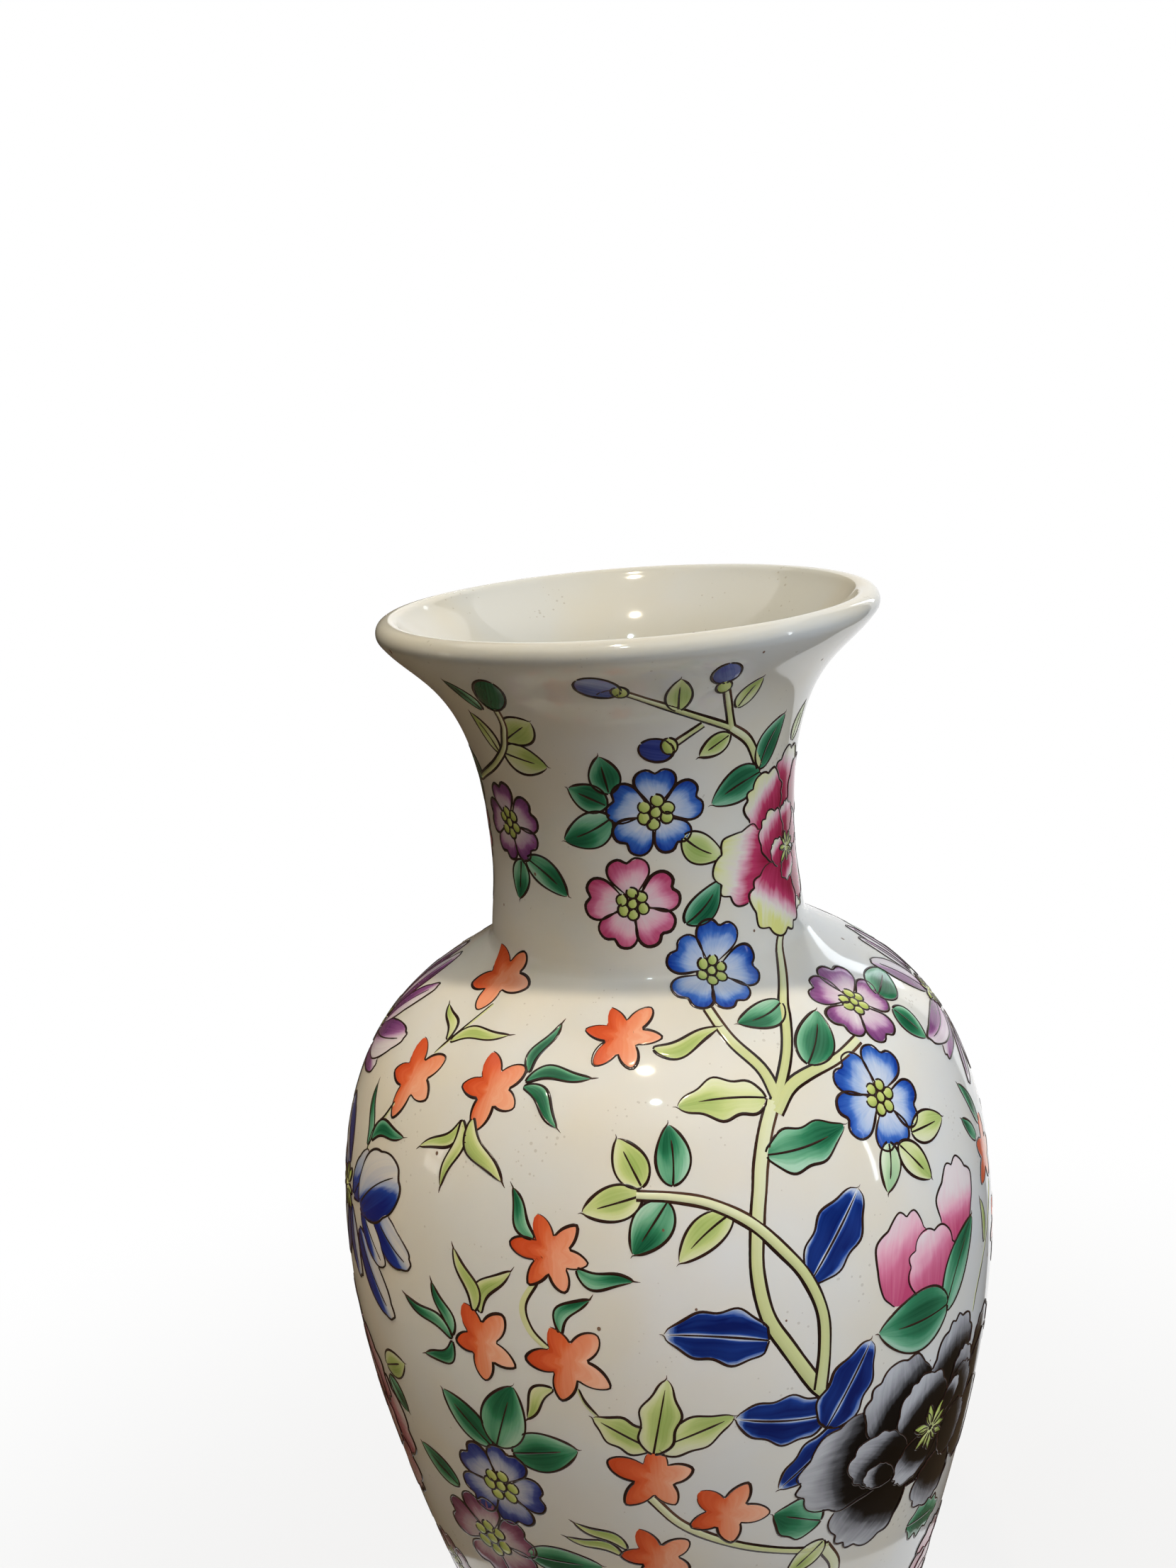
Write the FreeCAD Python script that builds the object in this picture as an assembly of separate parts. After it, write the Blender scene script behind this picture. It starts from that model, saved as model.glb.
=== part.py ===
import FreeCAD, Part
import math
import os

# A large porcelain baluster vase with a trumpet mouth, made as big porcelain is made:
# sections thrown on the wheel, turned, and luted end to end with slip, then glazed.
# Millimetres, +Z up, the origin on the table under the middle of the foot.

os.makedirs("parts", exist_ok=True)

# ---- Heights, from the table up or from the lip's crest down ----
total_height = 457.0            # table to the crest of the lip, an 18 inch vase
mouth_depth = 86.0              # crest to the throat, the narrowest place of the neck
neck_depth = 112.5              # crest to the corner where the neck rises from the shoulder
belly_depth = 219.0             # crest to the widest place of the body
waist_height = 32.0             # table to the narrowest place above the foot
glaze_line_height = 7.0         # the glaze stops here and bare biscuit shows below
recess_height = 10.0            # underside of the base inside the foot ring
recess_glaze_height = 4.0       # where the recess glaze stops above the table

# ---- Radii from the vase's axis ----
mouth_radius = 84.0             # outermost point of the lip
throat_radius = 52.0
neck_root_radius = 54.5
belly_radius = 115.0
foot_radius = 77.6              # bare biscuit band that a display stand takes

# ---- Thicknesses ----
wall_thickness = 7.0            # glaze to glaze
foot_ring_width = 10.6          # from the biscuit band in to the recess
waist_inset = 2.6               # from the biscuit band in to the waist
lip_radius = 4.2                # round of the lip, a little thicker than the wall
base_thickness = 9.0
glaze_thickness = 0.5
slip_thickness = 1.0            # layer of slip that lutes two sections together
foot_bevel = 1.2                # turned edges of the foot ring

# ---- How the outline bends ----
lip_slope = 53.4                # degrees above level at which the wall meets the lip
neck_root_lean = 95.0           # heading of the neck as it leaves its root
shoulder_slope = 136.0          # heading of the shoulder as it climbs to the neck root
root_blend = 2.6                # length of each arm of the small round in that corner
foot_reach = 11.0               # the reaches set how long each curve keeps its heading
waist_reach = 48.0
belly_reach_down = 74.0
belly_reach_up = 86.9
shoulder_reach = 22.6
neck_reach = 7.0
throat_reach_down = 9.0
throat_reach_up = 62.9
lip_reach = 18.0

# ---- The luted joints are at the waist, the belly, the neck's root and this one ----
mouth_joint_depth = 59.0        # below the lip's crest, to the top of the slip

INSET_STEPS = 14                # points that a curve moved into the wall is drawn through
FULL_TURN = 360.0
UP = 90.0                       # degrees
AXIS = FreeCAD.Vector(0, 0, 1)


def at(radius, height):
    """A point of the profile."""
    return FreeCAD.Vector(radius, 0, height)


def heading(degrees):
    """A direction in the profile: 0 is outward, 90 is up."""
    turn = math.radians(degrees)
    return FreeCAD.Vector(math.cos(turn), 0, math.sin(turn))


def line(start, end):
    return Part.LineSegment(start, end).toShape()


def arc(centre, radius, first, middle, last):
    """An arc of the profile through three headings seen from its centre."""
    points = [centre + heading(degrees) * radius for degrees in (first, middle, last)]
    return Part.Arc(*points).toShape()


def sweep(start, start_way, start_reach, end, end_way, end_reach):
    """One easy curve that leaves start and reaches end along the given headings."""
    curve = Part.BezierCurve()
    curve.setPoles([start,
                    start + heading(start_way) * start_reach,
                    end - heading(end_way) * end_reach,
                    end])
    return curve


def inset(curve, depth, end_depth):
    """The same curve moved into the wall, by a depth that eases towards its upper end."""
    points = []
    ways = []
    for step in range(INSET_STEPS + 1):
        share = step / INSET_STEPS
        eased = share * share * (3 - 2 * share)
        way = curve.tangent(share)[0]
        inward = FreeCAD.Vector(-way.z, 0, way.x)
        points.append(curve.value(share) + inward * (depth + (end_depth - depth) * eased))
        ways.append(way)
    moved = Part.BSplineCurve()
    moved.interpolate(Points=points, InitialTangent=ways[0], FinalTangent=ways[-1])
    return moved.toShape()


def turned(edges):
    """The solid that a closed profile makes when it turns once about the axis."""
    profile = Part.Wire(Part.__sortEdges__(edges))
    return Part.Face(profile).revolve(FreeCAD.Vector(0, 0, 0), AXIS, FULL_TURN)


def slab(solid, low, high):
    """The part of a turned solid between two heights."""
    reach = belly_radius + mouth_radius
    return solid.common(Part.makeCylinder(reach, high - low, at(0, low)))


def save(name, solid):
    solid.exportStep("parts/" + name + ".step")
    size = solid.BoundBox
    print(f"{name:22s} {solid.Volume / 1000:8.1f} cm3  z {size.ZMin:6.1f} to {size.ZMax:6.1f}"
          f"  across {size.XLength:6.1f}  solids {len(solid.Solids)}  valid {solid.isValid()}")


# ---- The outer outline, from the glaze line up to the lip ----
throat_height = total_height - mouth_depth
neck_root_height = total_height - neck_depth
belly_height = total_height - belly_depth
root_corner = at(neck_root_radius, neck_root_height)
root_low = root_corner - heading(shoulder_slope) * root_blend
root_high = root_corner + heading(neck_root_lean) * root_blend
lip_centre = at(mouth_radius - lip_radius, total_height - lip_radius)
lip_outward = lip_slope - UP
lip_inward = lip_slope + UP
lip_start = lip_centre + heading(lip_outward) * lip_radius
glaze_edge = at(foot_radius + glaze_thickness, glaze_line_height)
waist = at(foot_radius - waist_inset, waist_height)
belly = at(belly_radius, belly_height)
throat = at(throat_radius, throat_height)

body_curves = [
    sweep(glaze_edge, UP, foot_reach, waist, UP, foot_reach),
    sweep(waist, UP, waist_reach, belly, UP, belly_reach_down),
    sweep(belly, UP, belly_reach_up, root_low, shoulder_slope, shoulder_reach),
    sweep(root_low, shoulder_slope, root_blend / 2, root_high, neck_root_lean, root_blend / 2),
    sweep(root_high, neck_root_lean, neck_reach, throat, UP, throat_reach_down),
]
mouth_curve = sweep(throat, UP, throat_reach_up, lip_start, lip_slope, lip_reach)


def wall_line(curves, depth, lip_depth):
    """The outline moved into the wall: by depth on the body, by lip_depth at the lip."""
    return [inset(curve, depth, depth) for curve in curves] + [inset(mouth_curve, depth, lip_depth)]


def lip_arc(skin, first, last):
    """Part of the lip's round, with the glaze taken off where skin is its thickness."""
    return arc(lip_centre, lip_radius - skin, first, (first + last) / 2, last)


# The first curve lies outside the base, so the inner lines leave it out.
glaze_outer = wall_line(body_curves, 0, 0)
clay_outer = wall_line(body_curves, glaze_thickness, glaze_thickness)
clay_inner = wall_line(body_curves[1:], wall_thickness - glaze_thickness,
                       2 * lip_radius - glaze_thickness)
glaze_inner = wall_line(body_curves[1:], wall_thickness, 2 * lip_radius)

# ---- The floor sweeps up to the inner wall in a quarter round that ends at the waist ----
floor_height = recess_height + base_thickness
floor_round = waist_height - floor_height
floor_centre = at(waist.x - wall_thickness - floor_round, waist_height)


def floor_line(skin):
    """The floor from the axis out to the inner wall, with the glaze taken off."""
    edge = floor_centre - heading(UP) * (floor_round + skin)
    rise = arc(floor_centre, floor_round + skin, -UP, -UP / 2, 0)
    return [line(at(0, edge.z), edge), rise]


# ---- The clay, as one profile that the joints then divide ----
clay_floor_height = floor_height - glaze_thickness
recess_radius = foot_radius - foot_ring_width
foot_outline = [
    line(at(0, clay_floor_height), at(0, recess_height)),
    line(at(0, recess_height), at(recess_radius, recess_height)),
    line(at(recess_radius, recess_height), at(recess_radius, foot_bevel)),
    line(at(recess_radius, foot_bevel), at(recess_radius + foot_bevel, 0)),
    line(at(recess_radius + foot_bevel, 0), at(foot_radius - foot_bevel, 0)),
    line(at(foot_radius - foot_bevel, 0), at(foot_radius, foot_bevel)),
    line(at(foot_radius, foot_bevel), at(foot_radius, glaze_line_height)),
]
clay = turned(foot_outline + clay_outer + [lip_arc(glaze_thickness, lip_outward, lip_inward)]
              + clay_inner + floor_line(glaze_thickness))

# ---- Sections and the slip between them, from the table up ----
joints = [
    ("foot_slip", recess_height),
    ("base_slip", waist_height),
    ("belly_slip", belly_height),
    ("shoulder_slip", neck_root_height),
    ("mouth_slip", total_height - mouth_joint_depth),
]
sections = ["foot_ring", "base_dish", "lower_body", "upper_body", "neck", "mouth_flare"]
section_low = 0.0
for (slip_name, joint_height), section_name in zip(joints, sections):
    slip_low = joint_height - slip_thickness
    save(section_name, slab(clay, section_low, slip_low))
    save(slip_name, slab(clay, slip_low, joint_height))
    section_low = joint_height
save(sections[-1], slab(clay, section_low, total_height))

# ---- Glaze: outside, inside, and in the recess under the base ----
crest = lip_centre + heading(UP) * lip_radius
clay_crest = lip_centre + heading(UP) * (lip_radius - glaze_thickness)
save("outer_glaze", turned(
    glaze_outer + [lip_arc(0, lip_outward, UP), line(crest, clay_crest)]
    + [lip_arc(glaze_thickness, lip_outward, UP)] + clay_outer
    + [line(at(foot_radius, glaze_line_height), glaze_edge)]))
save("inner_glaze", turned(
    glaze_inner + floor_line(0) + [lip_arc(0, UP, lip_inward), line(crest, clay_crest)]
    + [lip_arc(glaze_thickness, UP, lip_inward)] + clay_inner + floor_line(glaze_thickness)
    + [line(at(0, floor_height), at(0, clay_floor_height))]))

recess_skin_radius = recess_radius - glaze_thickness
recess_skin_height = recess_height - glaze_thickness
save("recess_glaze", turned([
    line(at(0, recess_height), at(recess_radius, recess_height)),
    line(at(recess_radius, recess_height), at(recess_radius, recess_glaze_height)),
    line(at(recess_radius, recess_glaze_height), at(recess_skin_radius, recess_glaze_height)),
    line(at(recess_skin_radius, recess_glaze_height), at(recess_skin_radius, recess_skin_height)),
    line(at(recess_skin_radius, recess_skin_height), at(0, recess_skin_height)),
    line(at(0, recess_skin_height), at(0, recess_height)),
]))
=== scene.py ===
# %% [markdown]
# # A porcelain vase painted in enamels
# The real vase is thrown in sections, luted together, glazed in a pale, slightly grey white and
# fired. Then it is painted over the glaze: a brown-black brush line first, coloured enamels
# inside the lines after it, and a second, cooler firing melts both on. The script follows that
# order: the camera, the glazed wall, the bare foot, the brushwork, and the studio.
# All of it could be one image wrapped round a lathe shape. Thin raised enamel was chosen
# instead, because real enamel stands a tenth of a millimetre proud and catches the light.

import math
from functools import partial

import bpy
import numpy as np
from mathutils import Matrix, Vector


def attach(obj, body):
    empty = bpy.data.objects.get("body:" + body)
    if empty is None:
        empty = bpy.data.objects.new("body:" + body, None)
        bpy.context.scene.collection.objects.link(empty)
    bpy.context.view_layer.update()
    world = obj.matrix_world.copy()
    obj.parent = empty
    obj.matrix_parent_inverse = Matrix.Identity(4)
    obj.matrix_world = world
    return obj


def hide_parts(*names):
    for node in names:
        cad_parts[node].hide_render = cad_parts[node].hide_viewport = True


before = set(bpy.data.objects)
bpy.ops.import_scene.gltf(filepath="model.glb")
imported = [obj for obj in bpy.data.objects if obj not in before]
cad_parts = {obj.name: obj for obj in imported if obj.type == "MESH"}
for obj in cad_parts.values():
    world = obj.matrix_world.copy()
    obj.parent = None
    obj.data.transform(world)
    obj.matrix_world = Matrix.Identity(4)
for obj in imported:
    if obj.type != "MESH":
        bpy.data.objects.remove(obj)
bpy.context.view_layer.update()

# %% [markdown]
# ## The camera
# It stands a little above the mouth and close to the vase, so the mouth shows as an oval and
# the body narrows quickly towards the foot. It is tilted by a few degrees. A camera can be aimed
# with a Track To constraint; a matrix made from three angles keeps that tilt exact.

# %% Camera
camera_place = Vector((0.0, -0.612, 0.547))
camera_pitch = math.radians(14.0)
camera_yaw = math.radians(-1.62)
camera_roll = math.radians(-4.38)
level_ahead = Vector((math.sin(camera_yaw), math.cos(camera_yaw), 0.0))
level_right = Vector((math.cos(camera_yaw), -math.sin(camera_yaw), 0.0))
upright = Vector((0.0, 0.0, 1.0))
ahead = level_ahead * math.cos(camera_pitch) - upright * math.sin(camera_pitch)
above = upright * math.cos(camera_pitch) + level_ahead * math.sin(camera_pitch)
side = level_right * math.cos(camera_roll) + above * math.sin(camera_roll)
above = above * math.cos(camera_roll) - level_right * math.sin(camera_roll)
camera = bpy.data.objects.new("camera", bpy.data.cameras.new("camera"))
camera.matrix_world = Matrix.Translation(camera_place) @ Matrix(
    (side, above, -ahead)).transposed().to_4x4()
camera.data.sensor_width = 36.0
camera.data.lens = 42.3
camera.data.clip_start = 0.02
camera.data.clip_end = 60.0
bpy.context.scene.collection.objects.link(camera)
bpy.context.scene.camera = camera
print("camera", tuple(camera_place), "lens", camera.data.lens)

# %% [markdown]
# ## The outline of the wall
# A thrown pot is one outline turned about an axis. A maker checks it with a template, and the
# same template serves here: a few heights and radii in millimetres, joined by easy curves that
# leave and arrive along given headings (0 is outward, 90 is up). These are the values that the
# solid model has, so the glaze lies exactly where its solid does.

# %% Heights, radii and curves, in millimetres
total_height = 457.0
throat = np.array((52.0, total_height - 86.0))
neck_root = np.array((54.5, total_height - 112.5))
belly = np.array((115.0, total_height - 219.0))
waist = np.array((75.0, 32.0))
glaze_edge = np.array((78.1, 7.0))
lip_radius = 4.2
lip_centre = np.array((84.0 - lip_radius, total_height - lip_radius))
lip_slope = 53.4
wall_thickness = 7.0


def heading(degrees):
    """A direction in the outline's plane."""
    return np.array((math.cos(math.radians(degrees)), math.sin(math.radians(degrees))))


def sweep(start, start_way, start_reach, end, end_way, end_reach, spacing):
    """Points of one easy curve, about as far apart as spacing says."""
    poles = (start, start + heading(start_way) * start_reach,
             end - heading(end_way) * end_reach, end)
    count = max(3, round(float(np.linalg.norm(end - start)) / spacing))
    t = np.linspace(0.0, 1.0, count + 1)[:, None]
    return ((1 - t) ** 3 * poles[0] + 3 * (1 - t) ** 2 * t * poles[1]
            + 3 * (1 - t) * t ** 2 * poles[2] + t ** 3 * poles[3])


def round_off(centre, radius, first, last, spacing):
    """Points of an arc between two headings seen from its centre."""
    count = max(3, round(abs(math.radians(last - first)) * radius / spacing))
    return np.array([centre + heading(a) * radius for a in np.linspace(first, last, count + 1)])


def joined(*runs):
    """One line from several, without the doubled points where they meet."""
    line = np.vstack(runs)
    apart = np.linalg.norm(np.diff(line, axis=0), axis=1) > 1e-4
    return line[np.concatenate(([True], apart))]


def distance_along(line):
    """Millimetres from a line's start to each of its points."""
    return np.concatenate(([0.0], np.cumsum(np.linalg.norm(np.diff(line, axis=0), axis=1))))


# %% Outer outline, from the glaze's edge above the foot to just inside the mouth
root_low = neck_root - heading(136.0) * 2.6
root_high = neck_root + heading(95.0) * 2.6
lip_start = lip_centre + heading(lip_slope - 90.0) * lip_radius
body_runs = (
    sweep(glaze_edge, 90.0, 11.0, waist, 90.0, 11.0, 2.4),
    sweep(waist, 90.0, 48.0, belly, 90.0, 74.0, 2.4),
    sweep(belly, 90.0, 86.9, root_low, 136.0, 22.6, 2.0),
    sweep(root_low, 136.0, 1.3, root_high, 95.0, 1.3, 0.5),
    sweep(root_high, 95.0, 7.0, throat, 90.0, 9.0, 1.6),
)
mouth_run = sweep(throat, 90.0, 62.9, lip_start, lip_slope, 18.0, 1.6)
over_lip = round_off(lip_centre, lip_radius, lip_slope - 90.0, lip_slope + 90.0, 0.5)
print("outline runs", [len(run) for run in body_runs], len(mouth_run), len(over_lip))

# %% [markdown]
# ## The inside
# The wall keeps its thickness on the body and grows to the lip's full round at the mouth. So the
# inner line is the outer one moved inward along its own normal, and read from the lip down.

# %% Inner outline, from the lip down to the middle of the floor
def moved_in(run, depth, end_depth):
    """A run of the outline moved into the wall, by a depth that eases towards its end."""
    way = np.gradient(run, axis=0)
    way /= np.linalg.norm(way, axis=1)[:, None]
    share = np.linspace(0.0, 1.0, len(run))[:, None]
    ease = share * share * (3.0 - 2.0 * share)
    inward = np.column_stack((-way[:, 1], way[:, 0]))
    return run + inward * (depth + (end_depth - depth) * ease)


inner_mouth = moved_in(mouth_run, wall_thickness, 2.0 * lip_radius)[::-1]
inner_body = [moved_in(run, wall_thickness, wall_thickness)[::-1] for run in body_runs[:0:-1]]
floor_round = 13.0
floor_centre = np.array((waist[0] - wall_thickness - floor_round, waist[1]))
floor_bend = round_off(floor_centre, floor_round, 0.0, -90.0, 1.2)
floor_edge = floor_bend[-1]
floor_flat = np.column_stack((np.linspace(floor_edge[0], 0.0, 20), np.full(20, floor_edge[1])))
rolled_edge = round_off(glaze_edge + (-0.7, 0.5), 0.7, -80.0, 0.0, 0.3)
meeting = 34  # the point of the inner line where the two coats of glaze meet
outer_outline = joined(rolled_edge, *body_runs, mouth_run, over_lip, inner_mouth[1:meeting + 1])
inner_outline = joined(inner_mouth[meeting:], *inner_body, floor_bend, floor_flat)
run_length = distance_along(outer_outline)
crest_index = int(np.argmax(outer_outline[:, 1]))
print("outer outline", len(outer_outline), "points,", round(run_length[-1], 1), "mm long")
print("inner outline", len(inner_outline), "points")

# %% [markdown]
# ## A tree that turns an outline
# Spinning a profile by hand would do, but a Geometry Nodes tree says it once for every turned
# piece. It bends a flat grid round the axis, one row for each outline point, sews the seam and
# the poles, and then lets the surface wander by about a tenth of a millimetre, as glaze does.
# That slow waviness is what breaks up the reflections in a real glazed wall.

# %% Helpers for node trees
GEOMETRY = ("Geometry", "NodeSocketGeometry", None)
FINISH = ("Finish", "NodeSocketMaterial", None)
NUMBER = "NodeSocketFloat"
COLOUR = "NodeSocketColor"


def new_tree(name, kind, inputs, outputs):
    """A tree of nodes; each input and output is a name, a type and a value."""
    tree = bpy.data.node_groups.new(name, kind)
    for way, sockets in (("INPUT", inputs), ("OUTPUT", outputs)):
        for label, socket_type, value in sockets:
            made = tree.interface.new_socket(label, in_out=way, socket_type=socket_type)
            if value is not None:
                made.default_value = value
    return tree


def wire(tree, value, socket):
    """Link a socket, or a node's first output, to an input, or set the input to a plain value."""
    if isinstance(value, bpy.types.Node):
        value = value.outputs[0]
    if isinstance(value, bpy.types.NodeSocket):
        tree.links.new(value, socket)
    else:
        socket.default_value = value


def add(tree, kind, **settings):
    """A node of the tree; a name in settings with a leading underscore is one of its inputs."""
    node = tree.nodes.new(kind)
    for key, value in settings.items():
        if not key.startswith("_"):
            setattr(node, key, value)
    for key, value in settings.items():
        if key.startswith("_"):
            wire(tree, value, node.inputs[int(key[1:]) if key[1:].isdigit() else key[1:]])
    return node


def maths(tree, operation, first, second=0.0, third=0.0):
    """A Math node on values, sockets or nodes."""
    return add(tree, "ShaderNodeMath", operation=operation, _0=first, _1=second, _2=third)


def tools(tree):
    """The node maker and the Math maker of one tree."""
    return partial(add, tree), partial(maths, tree)


def wander(tree, place, amount):
    """How far a wavy glaze stands in or out at a place, from two sizes of waviness."""
    put, calc = tools(tree)
    broad = put("ShaderNodeTexNoise", _Vector=place, _Scale=17.0, _Detail=1.0)
    close = put("ShaderNodeTexNoise", _Vector=place, _Scale=48.0, _Detail=0.0)
    close_share = 0.22
    centred = calc("SUBTRACT", broad, (1.0 + close_share) / 2.0)
    both = calc("MULTIPLY_ADD", close, close_share, centred)
    return calc("MULTIPLY", both, amount)


def close_tree(tree, geometry, finish):
    """End a tree: smooth faces, real instances, a finish, and the way out."""
    put = tools(tree)[0]
    real = put("GeometryNodeRealizeInstances", _0=put("GeometryNodeSetShadeSmooth", _0=geometry))
    put("NodeGroupOutput", _0=put("GeometryNodeSetMaterial", _0=real, _Material=finish))
    print(tree.name, "has", len(tree.nodes), "nodes")


# %% The turning tree
turning = new_tree("Turn an outline about the axis", "GeometryNodeTree", (
    GEOMETRY, ("Steps round", "NodeSocketInt", 240), ("Waviness", NUMBER, 0.0002), FINISH),
    (GEOMETRY,))
put, calc = tools(turning)
given = put("NodeGroupInput")
point_count = put("GeometryNodeAttributeDomainSize", _Geometry=given)
sheet = put("GeometryNodeMeshGrid", _2=calc("ADD", given.outputs[1], 1.0), _3=point_count)
position = put("GeometryNodeInputPosition")
flat = put("ShaderNodeSeparateXYZ", _0=position)
angle = calc("MULTIPLY", flat, 2.0 * math.pi)
last_point = calc("SUBTRACT", point_count, 1.0)
row = calc("ROUND", calc("MULTIPLY", calc("ADD", flat.outputs[1], 0.5), last_point))
outline_point = put("GeometryNodeSampleIndex", data_type="FLOAT_VECTOR", _0=given, _1=position,
                    _2=row)
section = put("ShaderNodeSeparateXYZ", _0=outline_point)
turned_place = put("ShaderNodeCombineXYZ", _0=calc("MULTIPLY", section, calc("SINE", angle)),
                   _1=calc("MULTIPLY", section, calc("MULTIPLY", calc("COSINE", angle), -1.0)),
                   _2=section.outputs[2])
run_share = put("GeometryNodeInputNamedAttribute", data_type="FLOAT", _Name="run")
run_here = put("GeometryNodeSampleIndex", data_type="FLOAT", _0=given, _1=run_share, _2=row)
wrap = put("ShaderNodeCombineXYZ", _0=calc("ADD", flat, 0.5), _1=run_here)
mapped = put("GeometryNodeStoreNamedAttribute", data_type="FLOAT2", domain="CORNER",
             _Geometry=sheet, _Name="OFBake", _Value=wrap)
bent = put("GeometryNodeSetPosition", _0=mapped, _2=turned_place)
sewn = put("GeometryNodeMergeByDistance", _0=bent, _Distance=0.00002)
outward = put("GeometryNodeInputNormal")
sway = wander(turning, position, given.outputs[2])
shift = put("ShaderNodeVectorMath", operation="SCALE", _0=outward, _Scale=sway)
close_tree(turning, put("GeometryNodeSetPosition", _0=sewn, _3=shift), given.outputs[3])


# %% Running a tree and keeping its result as a plain mesh
def run_tree(piece, tree, values):
    """Give the piece a tree's result as its own mesh, with nothing left live."""
    bpy.context.scene.collection.objects.link(piece)
    live = piece.modifiers.new(tree.name, "NODES")
    live.node_group = tree
    for socket in tree.interface.items_tree:
        if socket.in_out == "INPUT" and socket.name in values:
            live[socket.identifier] = values[socket.name]
    bpy.context.view_layer.update()
    result = piece.evaluated_get(bpy.context.evaluated_depsgraph_get())
    plain = bpy.data.meshes.new_from_object(result)
    piece.modifiers.clear()
    piece.data = plain
    plain.name = piece.name
    print(piece.name, len(plain.vertices), "points", len(plain.polygons), "faces")
    return piece


def mark_points(mesh, label, values):
    """Keep a number with every point of a mesh."""
    mark = mesh.attributes.new(label, "FLOAT", "POINT")
    mark.data.foreach_set("value", values.astype(np.float32))


def outline_mesh(name, outline):
    """An outline as a mesh of edges in metres, with each point's share of the whole run."""
    mesh = bpy.data.meshes.new(name)
    points = [(r / 1000.0, 0.0, z / 1000.0) for r, z in outline]
    mesh.from_pydata(points, [(i, i + 1) for i in range(len(points) - 1)], [])
    run = distance_along(outline)
    mark_points(mesh, "run", run / run[-1])
    return mesh


def turned(name, outline, steps_round, waviness, finish):
    """A piece turned from its outline."""
    piece = bpy.data.objects.new(name, outline_mesh(name, outline))
    values = {"Steps round": steps_round, "Waviness": waviness, "Finish": finish}
    return run_tree(piece, turning, values)


# %% [markdown]
# ## Finishes
# Colours are written as a maker would match them, as red, green and blue from 0 to 255, and
# turned into the linear values that a shader wants. Each finish is a few nodes: a fired glaze
# is never one flat colour, it drifts between warm and cool and carries fine pinholes.

# %% Helpers for finishes
def colour(red, green, blue):
    """A colour from 0 to 255 as linear values with full opacity."""
    shares = [v / 255.0 for v in (red, green, blue)]
    linear = [v / 12.92 if v <= 0.04045 else ((v + 0.055) / 1.055) ** 2.4 for v in shares]
    return (*linear, 1.0)


def new_finish(name, roughness, **constants):
    """A node material; returns it with its node tree and its Principled shader's inputs."""
    material = bpy.data.materials.new(name)
    material.use_nodes = True
    inputs = material.node_tree.nodes["Principled BSDF"].inputs
    inputs["Roughness"].default_value = roughness
    for label, value in constants.items():
        inputs[label.replace("_", " ")].default_value = value
    return material, material.node_tree, inputs


def blend_colours(tree, share, first, second):
    """One colour over another by a share."""
    mixed = add(tree, "ShaderNodeMix", data_type="RGBA", _Factor=share, _6=first, _7=second)
    return mixed.outputs[2]


def object_place(tree):
    """Where a point of the surface is, in the object's own metres."""
    return add(tree, "ShaderNodeTexCoord").outputs["Object"]


def two_toned(name, roughness, first, second, scale, detail=2.0):
    """A finish that drifts between two colours."""
    material, tree, inputs = new_finish(name, roughness)
    spot = object_place(tree)
    patches = add(tree, "ShaderNodeTexNoise", _Vector=spot, _Scale=scale, _Detail=detail)
    drifting = blend_colours(tree, patches, colour(*first), colour(*second))
    wire(tree, drifting, inputs["Base Color"])
    return material


# %% Kiln drift: a fired surface that varies slowly and finely
drift = new_tree("Kiln drift", "ShaderNodeTree", (
    ("Main", COLOUR, None), ("Warm", COLOUR, None), ("Speck", COLOUR, None),
    ("Patches", NUMBER, 14.0), ("Specks", NUMBER, 420.0), ("Relief", NUMBER, 0.1)),
    (("Colour", COLOUR, None), ("Height", NUMBER, None)))
put, calc = tools(drift)
given = put("NodeGroupInput").outputs
spot = object_place(drift)
patches = put("ShaderNodeTexNoise", _Vector=spot, _Scale=given["Patches"], _Detail=3.0)
patch_share = put("ShaderNodeMapRange", _0=patches, _1=0.38, _2=0.64)
warmed = blend_colours(drift, patch_share, given["Main"], given["Warm"])
pits = put("ShaderNodeTexVoronoi", _Vector=spot, _Scale=given["Specks"])
thinned = put("ShaderNodeTexNoise", _Vector=spot, _Scale=60.0, _Detail=2.0)
pit_size = put("ShaderNodeMapRange", _0=thinned, _1=0.5, _2=0.72, _3=0.0, _4=0.24)
pit = calc("LESS_THAN", pits, pit_size)
pitted = blend_colours(drift, calc("MULTIPLY", pit, 0.35), warmed, given["Speck"])
orange_peel = put("ShaderNodeTexNoise", _Vector=spot, _Scale=150.0, _Detail=2.0)
sunk = calc("SUBTRACT", orange_peel, calc("MULTIPLY", pit, 0.3))
put("NodeGroupOutput", _0=pitted, _1=calc("MULTIPLY", sunk, given["Relief"]))
print(drift.name, "has", len(drift.nodes), "nodes")


# %% Glaze, biscuit and slip
def fired(name, main, warm, speck, roughness, relief, patches=14.0, specks=420.0, **constants):
    """A fired finish: its drift of colour and a very shallow relief."""
    material, tree, inputs = new_finish(name, roughness, **constants)
    made = add(tree, "ShaderNodeGroup", node_tree=drift, _Main=colour(*main), _Warm=colour(*warm),
               _Speck=colour(*speck), _Patches=patches, _Specks=specks, _Relief=relief)
    wire(tree, made, inputs["Base Color"])
    height = made.outputs["Height"]
    bump = add(tree, "ShaderNodeBump", _Height=height, _Distance=0.0002, _Strength=0.5)
    wire(tree, bump, inputs["Normal"])
    return material


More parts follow.
